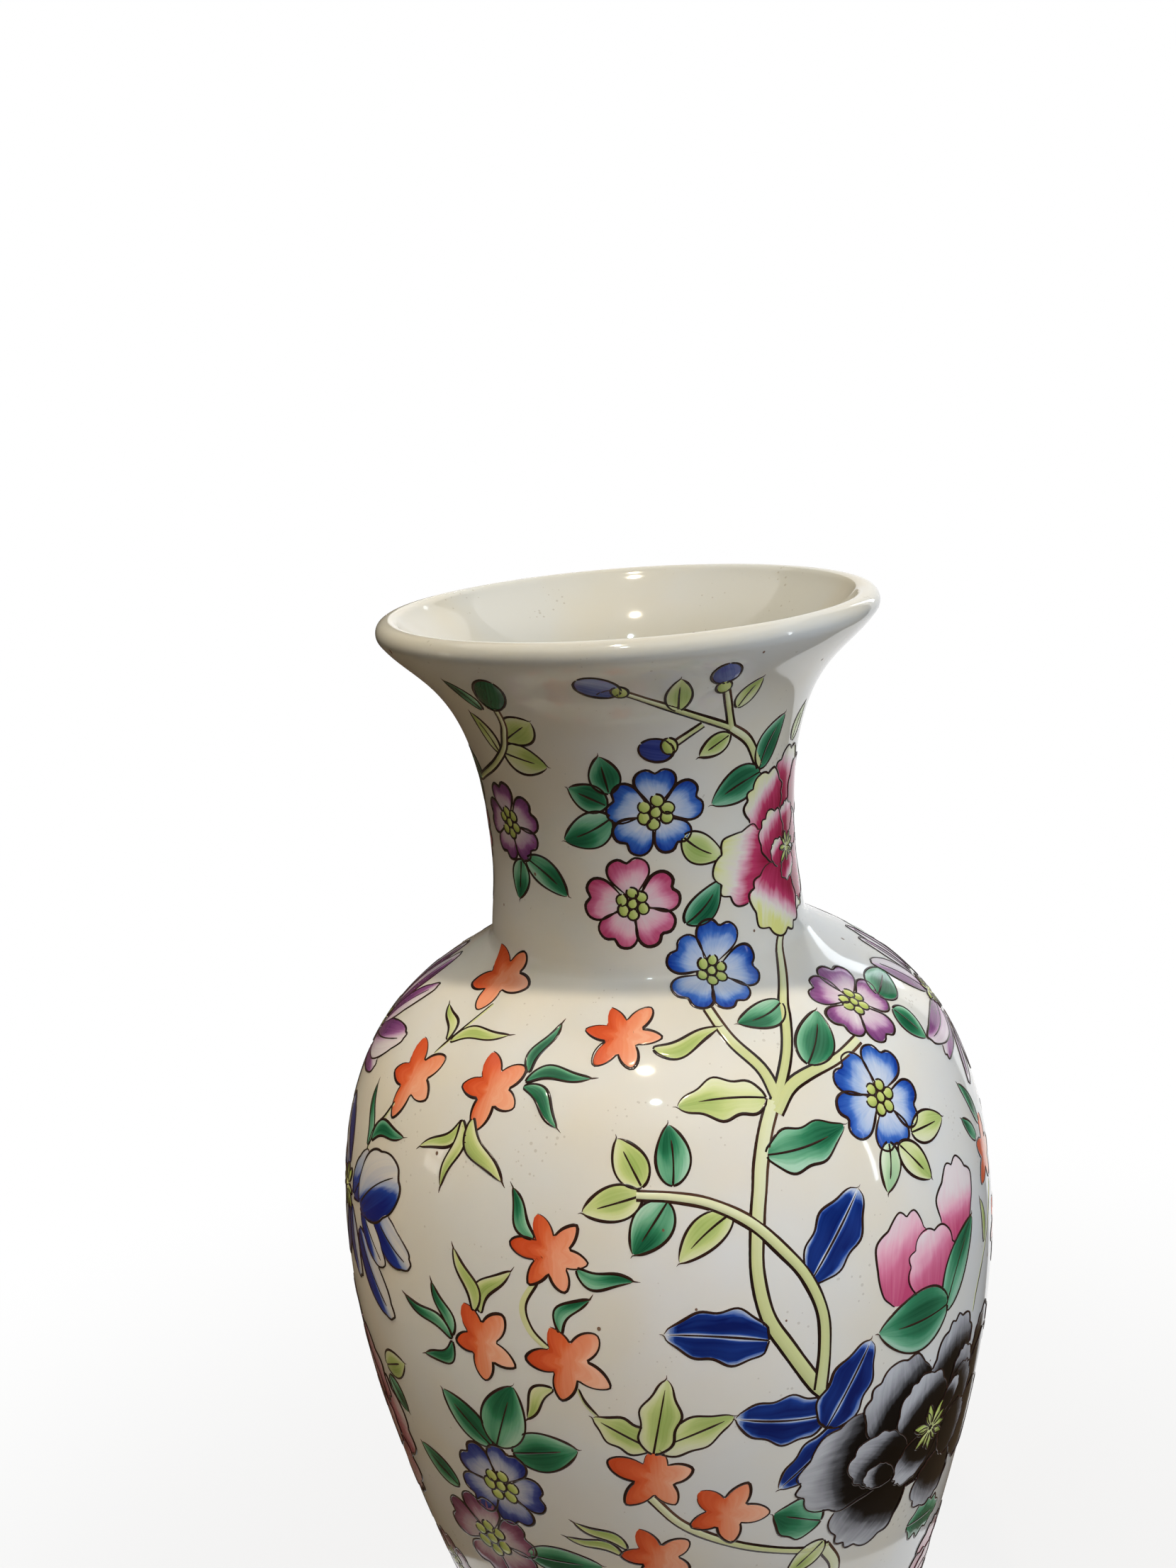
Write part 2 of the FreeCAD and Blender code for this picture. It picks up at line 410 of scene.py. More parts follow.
glaze = fired("porcelain glaze", (211, 211, 206), (214, 207, 189), (150, 138, 118), 0.06, 0.12,
              IOR=1.5)
biscuit = fired("bare biscuit", (205, 196, 178), (190, 172, 145), (120, 100, 80), 0.85, 1.0,
                patches=30.0, specks=900.0)
slip = fired("luting slip", (214, 208, 194), (205, 194, 172), (160, 146, 124), 0.9, 1.0,
             patches=40.0, specks=700.0)
print("fired finishes", glaze.name, biscuit.name, slip.name)

# %% [markdown]
# ## The glazed wall and the bare foot
# The outside coat runs over the lip and meets the inside coat deep in the throat, at one shared
# ring of points, so the meeting can't be seen. The foot is wiped clean of glaze before firing,
# or the vase would stick to its shelf: a matt, toasted band shows there.

# %% Turned pieces
waviness = 0.00055  # how strongly the glaze wanders, in metres
outer_coat = turned("outer_glaze_coat", outer_outline, 240, waviness, glaze)
inner_coat = turned("inner_glaze_coat", inner_outline, 240, waviness, glaze)
foot_section = np.array((
    (77.6, 9.0), (77.6, 6.0), (77.6, 3.0), (77.6, 1.6), (77.3, 0.8), (76.8, 0.3), (76.0, 0.0),
    (73.0, 0.0), (70.0, 0.0), (68.6, 0.0), (67.8, 0.3), (67.3, 0.8), (67.0, 1.6), (67.0, 5.0),
    (67.0, 9.0), (72.0, 9.0), (77.6, 9.0)))[::-1]
foot = turned("turned_foot", foot_section, 200, 0.0003, biscuit)
recess_section = joined(np.array(((66.9, 4.0), (66.5, 4.3), (66.4, 6.0), (66.4, 7.5))),
                        round_off(np.array((64.4, 7.5)), 2.0, 0.0, 90.0, 0.5),
                        np.column_stack((np.linspace(64.4, 0.0, 18), np.full(18, 9.5))))[::-1]
recess = turned("recess_glaze_coat", recess_section, 120, waviness, glaze)

# %% [markdown]
# ## Laying enamel on a curved wall
# The brushwork is drawn flat, as on paper, and a second tree lays it on the wall. In the flat
# drawing, across is the turn about the axis and up is the length along the outline, so a stroke
# follows the wall wherever it bends. A Shrinkwrap modifier could do this too, but it would
# stretch a flower on the shoulder, where the wall leans.

# %% The laying tree
TURN_MM = 100.0  # one radian of turn is this many millimetres across in the flat drawing
TURN_METRES = TURN_MM / 1000.0
laying = new_tree("Lay enamel on the wall", "GeometryNodeTree", (
    GEOMETRY, ("Outline", "NodeSocketObject", None), ("Waviness", NUMBER, 0.0002), FINISH),
    (GEOMETRY,))
put, calc = tools(laying)
given = put("NodeGroupInput")
template = put("GeometryNodeObjectInfo", _Object=given.outputs[1])
template_line = put("GeometryNodeMeshToCurve", _Mesh=template.outputs["Geometry"])
flat = put("ShaderNodeSeparateXYZ", _0=put("GeometryNodeInputPosition"))
along = put("GeometryNodeSampleCurve", mode="LENGTH", _Curves=template_line,
            _Length=flat.outputs[1])
wall_point = put("ShaderNodeSeparateXYZ", _0=along.outputs["Position"])
wall_way = put("ShaderNodeSeparateXYZ", _0=along.outputs["Tangent"])
angle = calc("DIVIDE", flat, TURN_METRES)
sine = calc("SINE", angle)
less_cosine = calc("MULTIPLY", calc("COSINE", angle), -1.0)
on_wall, outward = [put("ShaderNodeCombineXYZ", _0=calc("MULTIPLY", radial, sine),
                        _1=calc("MULTIPLY", radial, less_cosine), _2=upward)
                    for radial, upward in ((wall_point, wall_point.outputs[2]),
                                           (wall_way.outputs[2], calc("MULTIPLY", wall_way, -1.0)))]
stand = calc("ADD", flat.outputs[2], wander(laying, on_wall, given.outputs[2]))
proud = put("ShaderNodeVectorMath", operation="SCALE", _0=outward, _Scale=stand)
laid_place = put("ShaderNodeVectorMath", operation="ADD", _0=on_wall, _1=proud)
close_tree(laying, put("GeometryNodeSetPosition", _0=given, _2=laid_place), given.outputs[3])

# %% [markdown]
# ## Pots of enamel
# Each colour has its own pot, and everything painted with it becomes one piece. A pot keeps two
# numbers for every point: `wash`, from full colour (0) to the palest wash (1), and `tone`, which
# gives each petal its own streaks. The finish reads only those two, so a petal's colour stays
# with the petal. The rim of each patch dips to the glaze, so the enamel has a rounded edge.

# %% A pot, and places on the wall
FILL = 0.08  # millimetres that a patch of enamel stands above the glaze
LINE = 0.15  # and a line of its own
LINE_OVER_FILL = 0.06  # how much higher than its patch an outline lies
RIM = -0.03  # where the rim of a patch or a line dips into the glaze
pots = {}


def lay(pot, turns, lengths, lifts, washes, tones):
    """Add a grid of points to a pot, facing outward whichever way it was drawn."""
    kept = pots.setdefault(pot, {"points": [], "marks": [], "faces": [], "count": 0})
    number = np.arange(turns.size).reshape(turns.shape) + kept["count"]
    corners = (number[:-1, :-1], number[1:, :-1], number[1:, 1:], number[:-1, 1:])
    faces = np.stack(corners, -1).reshape(-1, 4)
    flat_x = turns * TURN_MM
    first = (flat_x[1:, :-1] - flat_x[:-1, :-1]) * (lengths[1:, 1:] - lengths[:-1, :-1])
    second = (lengths[1:, :-1] - lengths[:-1, :-1]) * (flat_x[1:, 1:] - flat_x[:-1, :-1])
    if float((first - second).sum()) < 0.0:
        faces = faces[:, ::-1]
    rises, washes, tones = [np.broadcast_to(grid, turns.shape).ravel()
                            for grid in (lifts, washes, tones)]
    kept["points"].append(np.column_stack((turns.ravel() * TURN_METRES, lengths.ravel() / 1000.0,
                                           rises / 1000.0)))
    kept["marks"].append(np.column_stack((washes, tones)))
    kept["faces"].append(faces)
    kept["count"] += turns.size


def length_at(height):
    """Millimetres along the outline from its foot to a height."""
    return np.interp(height, outer_outline[:crest_index, 1], run_length[:crest_index])


def radius_at(length):
    """The wall's radius at a length along the outline."""
    return np.interp(length, run_length, outer_outline[:, 0])


# %% Where a motif goes: turn in degrees from the front, height in millimetres
layout = {"turn": 0.0, "flip": 1.0}


def rotated(across, up, lean):
    """Flat points turned anticlockwise by lean."""
    cosine, sine_ = math.cos(math.radians(lean)), math.sin(math.radians(lean))
    return across * cosine - up * sine_, across * sine_ + up * cosine


def set_out(turns):
    """Turns as drawn, moved and mirrored to the side of the vase that is being painted."""
    return math.radians(layout["turn"]) + layout["flip"] * turns


def pin(across, up, place, lean=0.0):
    """Flat points about a place on the wall, turned anticlockwise by lean, as turns and lengths."""
    right, over = rotated(across, up, lean)
    lengths = length_at(place[1]) + over
    return set_out(math.radians(place[0]) + right / radius_at(lengths)), lengths


def route(places):
    """Places on the wall joined by a smooth line, as turns and lengths."""
    knots = np.array([(math.radians(t) * TURN_MM, length_at(h)) for t, h in places])
    ends = np.vstack((2 * knots[0] - knots[1], knots, 2 * knots[-1] - knots[-2]))
    t = np.linspace(0.0, 1.0, 13)[:, None]
    runs = []
    for a, b, c, d in zip(ends[:-3], ends[1:-2], ends[2:-1], ends[3:]):
        runs.append(0.5 * (2 * b + (c - a) * t + (2 * a - 5 * b + 4 * c - d) * t ** 2
                           + (3 * b - a - 3 * c + d) * t ** 3))
    line = joined(*runs)
    return set_out(line[:, 0] / TURN_MM), line[:, 1]


def span(base, tip):
    """Distance in millimetres and lean in degrees from one place to another; 0 is straight up."""
    up = float(length_at(tip[1]) - length_at(base[1]))
    middle = float(radius_at(length_at((base[1] + tip[1]) / 2.0)))
    across = math.radians(tip[0] - base[0]) * middle
    return math.hypot(across, up), math.degrees(math.atan2(-across, up))


# %% [markdown]
# ## The brush
# A pointed brush gives a line that swells where it is pressed and thins where it is lifted. Each
# line is a narrow raised strip whose width follows that pressure. Line pots are split by place,
# because one piece with every line on the vase would be too heavy.

# %% The brush
PRESS_DOWN = 7.0  # how fast a line widens at its start: this many widths over its whole length
LIFT_OFF = 5.0  # how fast it narrows at its end
FULL_BRUSH = 1.2  # how much wider a full brush draws
hand = np.random.default_rng(7)


def line_pot(turns, lengths):
    """The pot of line colour for this part of the vase."""
    turn = math.degrees(float(turns.mean())) % 360.0
    if float(lengths.mean()) > float(length_at(neck_root[1])):
        return "neck_lines"
    return "front_lines" if turn < 90.0 or turn > 270.0 else "back_lines"


def walk(turns, lengths, step, fewest, lead=0.5):
    """Even steps along a line: turns, lengths, the way ahead, radii and the distance walked. The
    radius between two points is read nearer the second one as lead grows from 0 to 1."""
    radii = radius_at(lengths)
    between = radii[1:] * lead + radii[:-1] * (1.0 - lead)
    strides = np.hypot(np.diff(turns) * between, np.diff(lengths))
    travelled = np.concatenate(([0.0], np.cumsum(strides)))
    count = max(fewest, round(travelled[-1] / step))
    marks = np.linspace(0.0, travelled[-1], count + 1)
    turns, lengths = np.interp(marks, travelled, turns), np.interp(marks, travelled, lengths)
    radii = radius_at(lengths)
    way = np.stack((np.gradient(turns) * radii, np.gradient(lengths)))
    way /= np.maximum(np.linalg.norm(way, axis=0), 1e-9)
    return turns, lengths, way, radii, travelled[-1]


def ribbon(walked, shares, half, aside=0.0):
    """Turns and lengths of a strip along a walked line; shares of the half width give its rows."""
    turns, lengths, way, radii = walked[:4]
    offsets = np.array(shares)[:, None] * half + aside
    return turns - way[1] * offsets / radii, lengths + way[0] * offsets


def brush(turns, lengths, width, pot=None, lift=LINE, press=(0.35, 0.25), waver=0.2, step=1.1,
          aside=0.0):
    """One stroke along a line of turns and lengths; press is the share of width at its two ends,
    and waver the share by which the width comes and goes."""
    walked = walk(turns, lengths, step, 5)
    share = np.linspace(0.0, 1.0, len(walked[0]))
    pressed = np.minimum(press[0] + share * PRESS_DOWN, press[1] + (1.0 - share) * LIFT_OFF)
    swell = np.minimum(1.0, pressed)
    beat = hand.uniform(3.0, 9.0)
    beats = share * beat * max(1.0, walked[-1] / 30.0)
    uneven = 1.0 + waver * np.sin(beats + hand.uniform(0.0, 6.28))
    half = 0.5 * width * swell * uneven
    grid_turns, grid_lengths = ribbon(walked, (-1.0, -0.8, 0.8, 1.0), half, aside)
    lifts = np.array((RIM, lift, lift, RIM))[:, None] * np.ones(len(share))
    lifts[:, 0] = lifts[:, -1] = RIM
    washes = np.clip(0.15 + 0.5 * (1.0 - swell) + 0.3 * share, 0.0, 1.0)
    tones = hand.uniform(0.0, 0.9) + np.linspace(0.0, 0.1, 4)[:, None]
    lay(pot or line_pot(walked[0], walked[1]), grid_turns, grid_lengths, lifts, washes, tones)


def outline_stroke(across, up, place, lean, width, **more):
    """A stroke along flat points about a place, drawn with a full brush."""
    turns, lengths = pin(across, up, place, lean)
    brush(turns, lengths, width * FULL_BRUSH, **more)


# %% Patches of colour
def rim_steps(count, edge=0.05):
    """Steps from 0 to 1 with a short one at each end, where the enamel rounds down."""
    return np.concatenate(([0.0], np.linspace(edge, 1.0 - edge, count - 1), [1.0]))


def both_ways(count, edge):
    """The same steps from -1 to 1."""
    return 2.0 * rim_steps(count, edge) - 1.0


def disc(count, edge):
    """A square grid, and the same grid pulled into a round disc: x, y, and x and y in the disc."""
    x, y = np.meshgrid(both_ways(count, edge), both_ways(count, edge))
    return x, y, x * np.sqrt(1.0 - y * y / 2.0), y * np.sqrt(1.0 - x * x / 2.0)


def soften(*lines):
    """Round off the small corners of lines."""
    for line in lines:
        line[1:-1] = (line[:-2] + 2.0 * line[1:-1] + line[2:]) / 4.0


def eased(x):
    """A smooth step that never quite flattens, so no two points share the same wash."""
    return 1.0 / (1.0 + np.exp(-6.0 * (x - 0.5)))


def patch(pot, across, up, place, lean, wash, lift=FILL):
    """A patch of enamel from a flat grid of points; its rim dips to the glaze."""
    turns, lengths = pin(across, up, place, lean)
    lifts = np.full(turns.shape, RIM)
    lifts[1:-1, 1:-1] = lift
    rows, columns = turns.shape
    spread = np.linspace(0.0, 0.2, columns)[None, :] + np.linspace(0.0, 0.01, rows)[:, None]
    lay(pot, turns, lengths, lifts, eased(wash), hand.uniform(0.0, 0.78) + spread)


# %% [markdown]
# ## Petals
# Blossoms and tufts are made of fans: a petal starts narrow at the flower's middle and ends in an
# edge that is notched like a heart or pointed like a flame. One function draws both. What changes
# is the shape of that edge and where the colour is strong.

# %% One petal
def heart_edge(v):
    """A heart's notch in the middle and rounded shoulders."""
    return 1.0 - 0.26 * np.abs(v) ** 5 - 0.13 * np.exp(-(v / 0.17) ** 2)


def flame_edge(v):
    """A narrow point."""
    return 1.0 - 0.5 * np.abs(v) ** 1.6


def strong_rim(side=0.0, fade=0.8):
    """Full colour at the rim, fading to white inside, stronger on one side."""
    return lambda u, v: 0.94 - 0.96 * u ** (1.5 / fade) - 0.28 * side * v * u


def petal(pot, place, lean, inner, outer, half_angle, edge, wash, offset=(0.0, 0.0), lift=FILL,
          line=0.75, steps=(8, 9)):
    """A petal about a point offset from the flower's place, opening towards lean."""
    def fan(u, v):
        reach = inner + (outer * edge(v) - inner) * u
        fullness = 0.75 + 0.25 * np.sin(math.pi * np.clip(u, 0.0, 1.0) ** 0.8 * 0.62) * 1.3
        turn = math.radians(half_angle) * v * fullness
        across, up = rotated(reach * np.sin(turn), reach * np.cos(turn), lean)
        return across + offset[0], up + offset[1]

    u = rim_steps(steps[0])[:, None]
    v = both_ways(steps[1], 0.04)[None, :]
    patch(pot, *fan(u, v), place, 0.0, wash(u, v), lift)
    rise = np.linspace(0.03, 1.0, 16)
    path_u = np.concatenate((rise[:-1], np.ones(44), rise[-2::-1]))
    path_v = np.concatenate((-np.ones(15), np.linspace(-1.0, 1.0, 44), np.ones(15)))
    across, up = fan(path_u, path_v)
    soften(across, up)
    soften(across, up)
    outline_stroke(across, up, place, 0.0, line, lift=lift + LINE_OVER_FILL)


# %% Round dabs, used for flower centres and buds
def dab(pot, place, offset, size, lean=0.0, stretch=1.0, lift=0.16, line=0.65, wash_low=0.1,
        wash_high=0.8):
    """A round or oval dab with a domed top."""
    def put_down(x, y):
        across, up = rotated(x * size / 2.0, y * size / 2.0 * stretch, lean)
        return across + offset[0], up + offset[1]

    x, y, disc_x, disc_y = disc(5, 0.1)
    wash = wash_low + (wash_high - wash_low) * (0.5 + 0.5 * x * 0.8 + 0.1 * y)
    patch(pot, *put_down(disc_x, disc_y), place, 0.0, wash, lift)
    a = np.linspace(0.3, 0.3 + 2.0 * math.pi, 26)
    outline_stroke(*put_down(np.sin(a), np.cos(a)), place, 0.0, line, lift=lift + 0.02,
                   press=(0.8, 0.6), step=0.9)


# %% [markdown]
# ## Blossoms
# Small prunus-like blossoms with five heart-shaped petals. Seven green dots make the centre: one
# in the middle and six round it.

# %% Blossom
def blossom(pot, turn, height, size, lean=0.0, centre=1.0):
    """A five-petalled blossom; centre scales its ring of dots."""
    place = (turn, height)
    reach = size / 2.0
    for number in range(5):
        way = lean + 72.0 * number + hand.uniform(-5.0, 5.0)
        outer = reach * hand.uniform(0.94, 1.06)
        wash = strong_rim(hand.choice((-1.0, 1.0)), hand.uniform(0.75, 1.0))
        line = hand.uniform(0.7, 0.9)
        petal(pot, place, way, reach * 0.2, outer, 33.5, heart_edge, wash, line=line)
    ring = reach * 0.27 * centre
    for number in range(6):
        a = math.radians(lean + 60.0 * number + hand.uniform(-8.0, 8.0))
        dab("green_centres", place, (-math.sin(a) * ring, math.cos(a) * ring), ring,
            hand.uniform(0, 90), hand.uniform(0.95, 1.2))
    dab("green_centres", place, (0.0, 0.0), reach * 0.25 * centre, lift=0.2)


# %% [markdown]
# ## Leaves
# A leaf is a bent strip, wide in the middle and pointed at its tip. The broad emerald and
# yellow-green leaves have a vein that stops before the tip. Slim ones beside the star flowers
# have none. The cobalt leaves stay pale along the vein and the edge.

# %% Leaf
def emerald_wash(side=1.0):
    """Dark along one half and at the tip, pale at the edges."""
    return lambda t, v: (0.34 + 0.5 * np.abs(v) ** 2.5 - 0.24 * side * v
                         + 0.2 * np.cos(t * 5.0 + side))


def cobalt_wash(t, v):
    """Deep colour in each half, paler at the edge, at the tip and beside the vein."""
    edge = (1.07 - np.abs(v)) * (3.6 + 1.6 * np.sin(8.0 * t + 3.0 * v))
    inside = np.clip(np.minimum(edge, (np.abs(v) - 0.03) * 7.0), 0.25, 1.0)
    tip = np.clip((1.0 - t) * 11.0, 0.0, 1.0)
    return 1.05 - 1.0 * inside * tip + 0.1 * np.abs(v) + 0.1 * np.sin(9.0 * t + 2.5 * v)


def leaf(pot, base, tip, width, bend=0.0, wave=0.0, waves=2.3, vein=0.78, wash=None, lift=FILL,
         line=0.72, flick=1.5, full=0.8, blunt=0.72, curl=0.0, steps=(13, 8)):
    """A leaf from one place to another; bend is its sideways sag as a share of its length, curl
    turns its tip back, and vein is the vein's share of the length."""
    long, lean = span(base, tip)
    wash = wash or emerald_wash(hand.choice((-1.0, 1.0)))
    phase = hand.uniform(0.0, 6.28)

    def strip(t, v):
        wide = np.sin(math.pi * np.clip(t, 0.0, 1.0) ** full) ** blunt
        wide = wide * (1.0 + wave * np.sin(2.0 * math.pi * waves * t + phase))
        sag = bend * long * 4.0 * t * (1.0 - t) + curl * long * np.sin(2.0 * math.pi * t)
        return np.broadcast_arrays(sag + v * wide * width * 0.56, long * t)

    t = rim_steps(steps[0], 0.03)[:, None]
    v = both_ways(steps[1], 0.05)[None, :]
    if wash is cobalt_wash:
        half_steps = np.array((0.02, 0.07, 0.13, 0.2, 0.45, 0.7, 0.8, 0.87, 0.94, 1.0))
        v = np.concatenate((-half_steps[::-1], half_steps))[None, :]
    patch(pot, *strip(t * 0.98 + 0.01, v), base, lean, wash(t, v), lift)
    for way in (-1.0, 1.0):
        across, up = strip(np.linspace(0.0, 1.0, 34), way)
        if way < 0.0:
            across = np.append(across, across[-1] + hand.uniform(-0.3, 0.3))
            up = np.append(up, up[-1] + flick)
        outline_stroke(across, up, base, lean, line * hand.uniform(0.85, 1.15), press=(0.7, 0.15),
                       lift=lift + LINE_OVER_FILL)
    if vein:
        across, up = strip(np.linspace(0.0, vein, 20), 0.0)
        outline_stroke(across, up, base, lean, line * 0.85, press=(1.0, 0.1),
                       lift=lift + LINE_OVER_FILL)


def wavy_leaf(pot, base, tip, width, bend=0.0, lift=FILL, full=0.72):
    """A wavy leaf of cobalt; a higher full moves its widest part towards the tip."""
    leaf(pot, base, tip, width, bend=bend, lift=lift, wave=0.1, waves=2.6, vein=0.97,
         wash=cobalt_wash, full=full, blunt=0.55, line=0.78)


def slim_leaf(pot, base, tip, width, bend=0.0, lift=FILL):
    """A slim flicked leaf with no vein, curled like a flame."""
    leaf(pot, base, tip, width * 0.88, bend=bend, vein=0, lift=lift, flick=2.2, full=0.7,
         curl=0.055 if bend > 0.0 else -0.055, steps=(14, 5))


def leaves_of(kind, pot):
    """A painter of one kind of leaf from one pot. Each of its rows is a leaf: the turn and height
    of its base, the turn and height of its tip, its width, and its bend if it has one."""
    def paint(*rows, **habits):
        for row in rows:
            kind(pot, row[:2], row[2:4], *row[4:], **habits)
    return paint


emerald = leaves_of(leaf, "emerald_leaves")
light = leaves_of(leaf, "light_leaves")
slim_emerald = leaves_of(slim_leaf, "emerald_leaves")
slim_light = leaves_of(slim_leaf, "light_leaves")
cobalt = leaves_of(wavy_leaf, "cobalt_leaves")


# %% [markdown]
# ## Star flowers
# Iron-red stars with five or six uneven lobes. The red is strong on one side and thins to a
# pale orange on the other, as it does when a loaded brush is drawn across the flower.

# %% Star flower
def star(turn, height, size, lean=0.0, lobes=(1.0, 0.9, 1.05, 0.85, 0.95)):
    """A star flower; lobes are the lobes' shares of the size, anticlockwise from lean."""
    count = len(lobes)
    tips = np.array([lean + 360.0 * k / count + hand.uniform(-4.0, 4.0) for k in range(count)])
    powers = hand.uniform(0.95, 1.55, count)
    reaches = np.array(lobes) * size / 2.0
    valley = 0.42 * size / 2.0

    def boundary(a):
        from_tips = (np.degrees(a)[..., None] - tips + 180.0) % 360.0 - 180.0
        shares = np.clip(np.abs(from_tips) / (180.0 / count), 0.0, 1.0)
        return valley + ((reaches - valley) * (1.0 - shares ** powers)).max(axis=-1)

    disc_x, disc_y = disc(15, 0.025)[2:]
    reach = boundary(np.arctan2(-disc_x, disc_y))
    wash = 0.5 + 0.5 * disc_x - 0.14 * disc_y + 0.12 * (1.0 - np.hypot(disc_x, disc_y))
    patch("star_reds", disc_x * reach, disc_y * reach, (turn, height), 0.0, wash)
    start = math.radians(tips[0])
    around = np.linspace(start + hand.uniform(0.1, 0.5), start + 2.0 * math.pi, 150)
    reach = boundary(around)
    across, up = -np.sin(around) * reach, np.cos(around) * reach
    soften(across, up)
    outline_stroke(across, up, (turn, height), 0.0, 0.72, press=(0.2, 0.3), waver=0.35)


# %% [markdown]
# ## Stems
# The broad stems are pale green between two brown lines. Painting a wide brown line first and a
# narrower green one higher up makes every fork join cleanly, because all the green lies above
# all the brown.

# %% Stems and twigs
BROWN_EDGES = 1.6  # how much wider the brown is than the green, in millimetres


def stem(places, width, ends=(1.0, 1.0), top=0.1):
    """A broad stem through places on the wall, narrowing or widening to its two ends; a higher top
    carries it over another stem."""
    walked = walk(*route(places), 2.0, 6, 1.0)
    share = np.linspace(0.0, 1.0, len(walked[0]))
    uneven = 1.0 + 0.06 * np.sin(share * 9.0 + hand.uniform(0, 6))
    wide = width * (ends[0] + (ends[1] - ends[0]) * share) * uneven
    across = np.array((-0.2, -0.1, 0.1, 0.2, 0.3))[:, None]
    washes = 0.3 + 0.35 * np.sin(share * 5.0 + 1.0) * np.ones((5, 1)) + across
    brown = line_pot(walked[0], walked[1])
    for pot, edges, rise, aside in ((brown, BROWN_EDGES, top - 0.03, hand.uniform(-0.15, 0.15)),
                                    ("green_stems", 0.0, top, 0.0)):
        beat = hand.uniform(9.0, 16.0)
        ragged = 0.14 * np.sin(share * beat * walked[-1] / 40.0 + hand.uniform(0.0, 6.28))
        half = (wide + (edges + ragged if edges else 0.0)) / 2.0
        grid_turns, grid_lengths = ribbon(walked, (-1.0, -0.86, 0.0, 0.86, 1.0), half, aside)
        lifts = np.array((RIM, rise, rise + 0.02, rise, RIM))[:, None] * np.ones(len(share))
        tones = hand.uniform(0.0, 0.8) + np.linspace(0.0, 0.15, 5)[:, None]
        lay(pot, grid_turns, grid_lengths, lifts, eased(washes), tones)


def twig(places, width=1.0, line_side=1.0):
    """A thin green stem with one brown line along a side of it."""
    turns, lengths = route(places)
    brush(turns, lengths, width, pot="green_stems", lift=0.07, press=(0.7, 0.6))
    brush(turns, lengths, 0.9, lift=0.12, aside=0.42 * line_side * width)


# %% [markdown]
# ## Peonies and the long flowers
# A peony is broad scalloped petals that overlap round a tuft of yellow-green strokes. The long
# flowers on the sides have folded petals, coloured on one half and bare on the other. Each petal
# is a round disc pulled into shape. It lies a little higher than the one before, and a painter
# doesn't draw a line that a later petal hides, so neither does this.

# %% The tuft in the middle
def tuft(place, offset, size, lean=0.0, count=9):
    """Short yellow-green strokes like small flames."""
    for number in range(count):
        way = lean + 360.0 * number / count + hand.uniform(-14.0, 14.0)
        petal("green_centres", place, way, size * 0.04, size * hand.uniform(0.34, 0.56), 17.0,
              flame_edge, strong_rim(), offset=offset, lift=0.36, line=0.45, steps=(4, 4))


# %% Flowers of overlapping petals
LEVEL = 0.013  # how much higher each petal lies than the one before, in millimetres


def away(place, spot):
    """The offset in millimetres from a flower's place to another place on the wall."""
    length = float(length_at(spot[1]))
    across = math.radians(spot[0] - place[0]) * float(radius_at(length))
    return across, length - float(length_at(place[1]))


def broad_petal(disc_x, disc_y, shape):
    """Where a point of a round disc goes in a petal: x across, and t from 0 at its base to 1."""
    scallops, depth, phase, point, notch = shape
    a = np.arctan2(disc_x, disc_y)
    uneven = a + 0.17 * np.sin(2.0 * a + phase) + 0.09 * np.sin(5.0 * a + 2.0 * phase)
    scallop = (1.0 - np.abs(np.sin(scallops * uneven / 2.0 + phase))) ** 0.8
    bite = depth * scallop * np.sqrt(0.5 + 0.5 * np.cos(a)) + notch * np.exp(-(a / 0.22) ** 2)
    kept = 1.0 - np.hypot(disc_x, disc_y) ** 4 * bite
    t = (disc_y * kept + 1.0) / 2.0
    wide = 0.58 + 0.42 * np.sin(0.5 * math.pi * np.clip(t + 0.25, 0.0, 1.0))
    return disc_x * kept * wide * (1.0 - point * t * t), t


def within(x, y, rim_x, rim_y):
    """Which points lie inside a closed line."""
    next_x, next_y = np.roll(rim_x, -1), np.roll(rim_y, -1)
    crosses = (rim_y > y[:, None]) != (next_y > y[:, None])
    level = rim_x + (y[:, None] - rim_y) * (next_x - rim_x) / (next_y - rim_y + 1e-9)
    return (crosses & (x[:, None] < level)).sum(axis=1) % 2 == 1


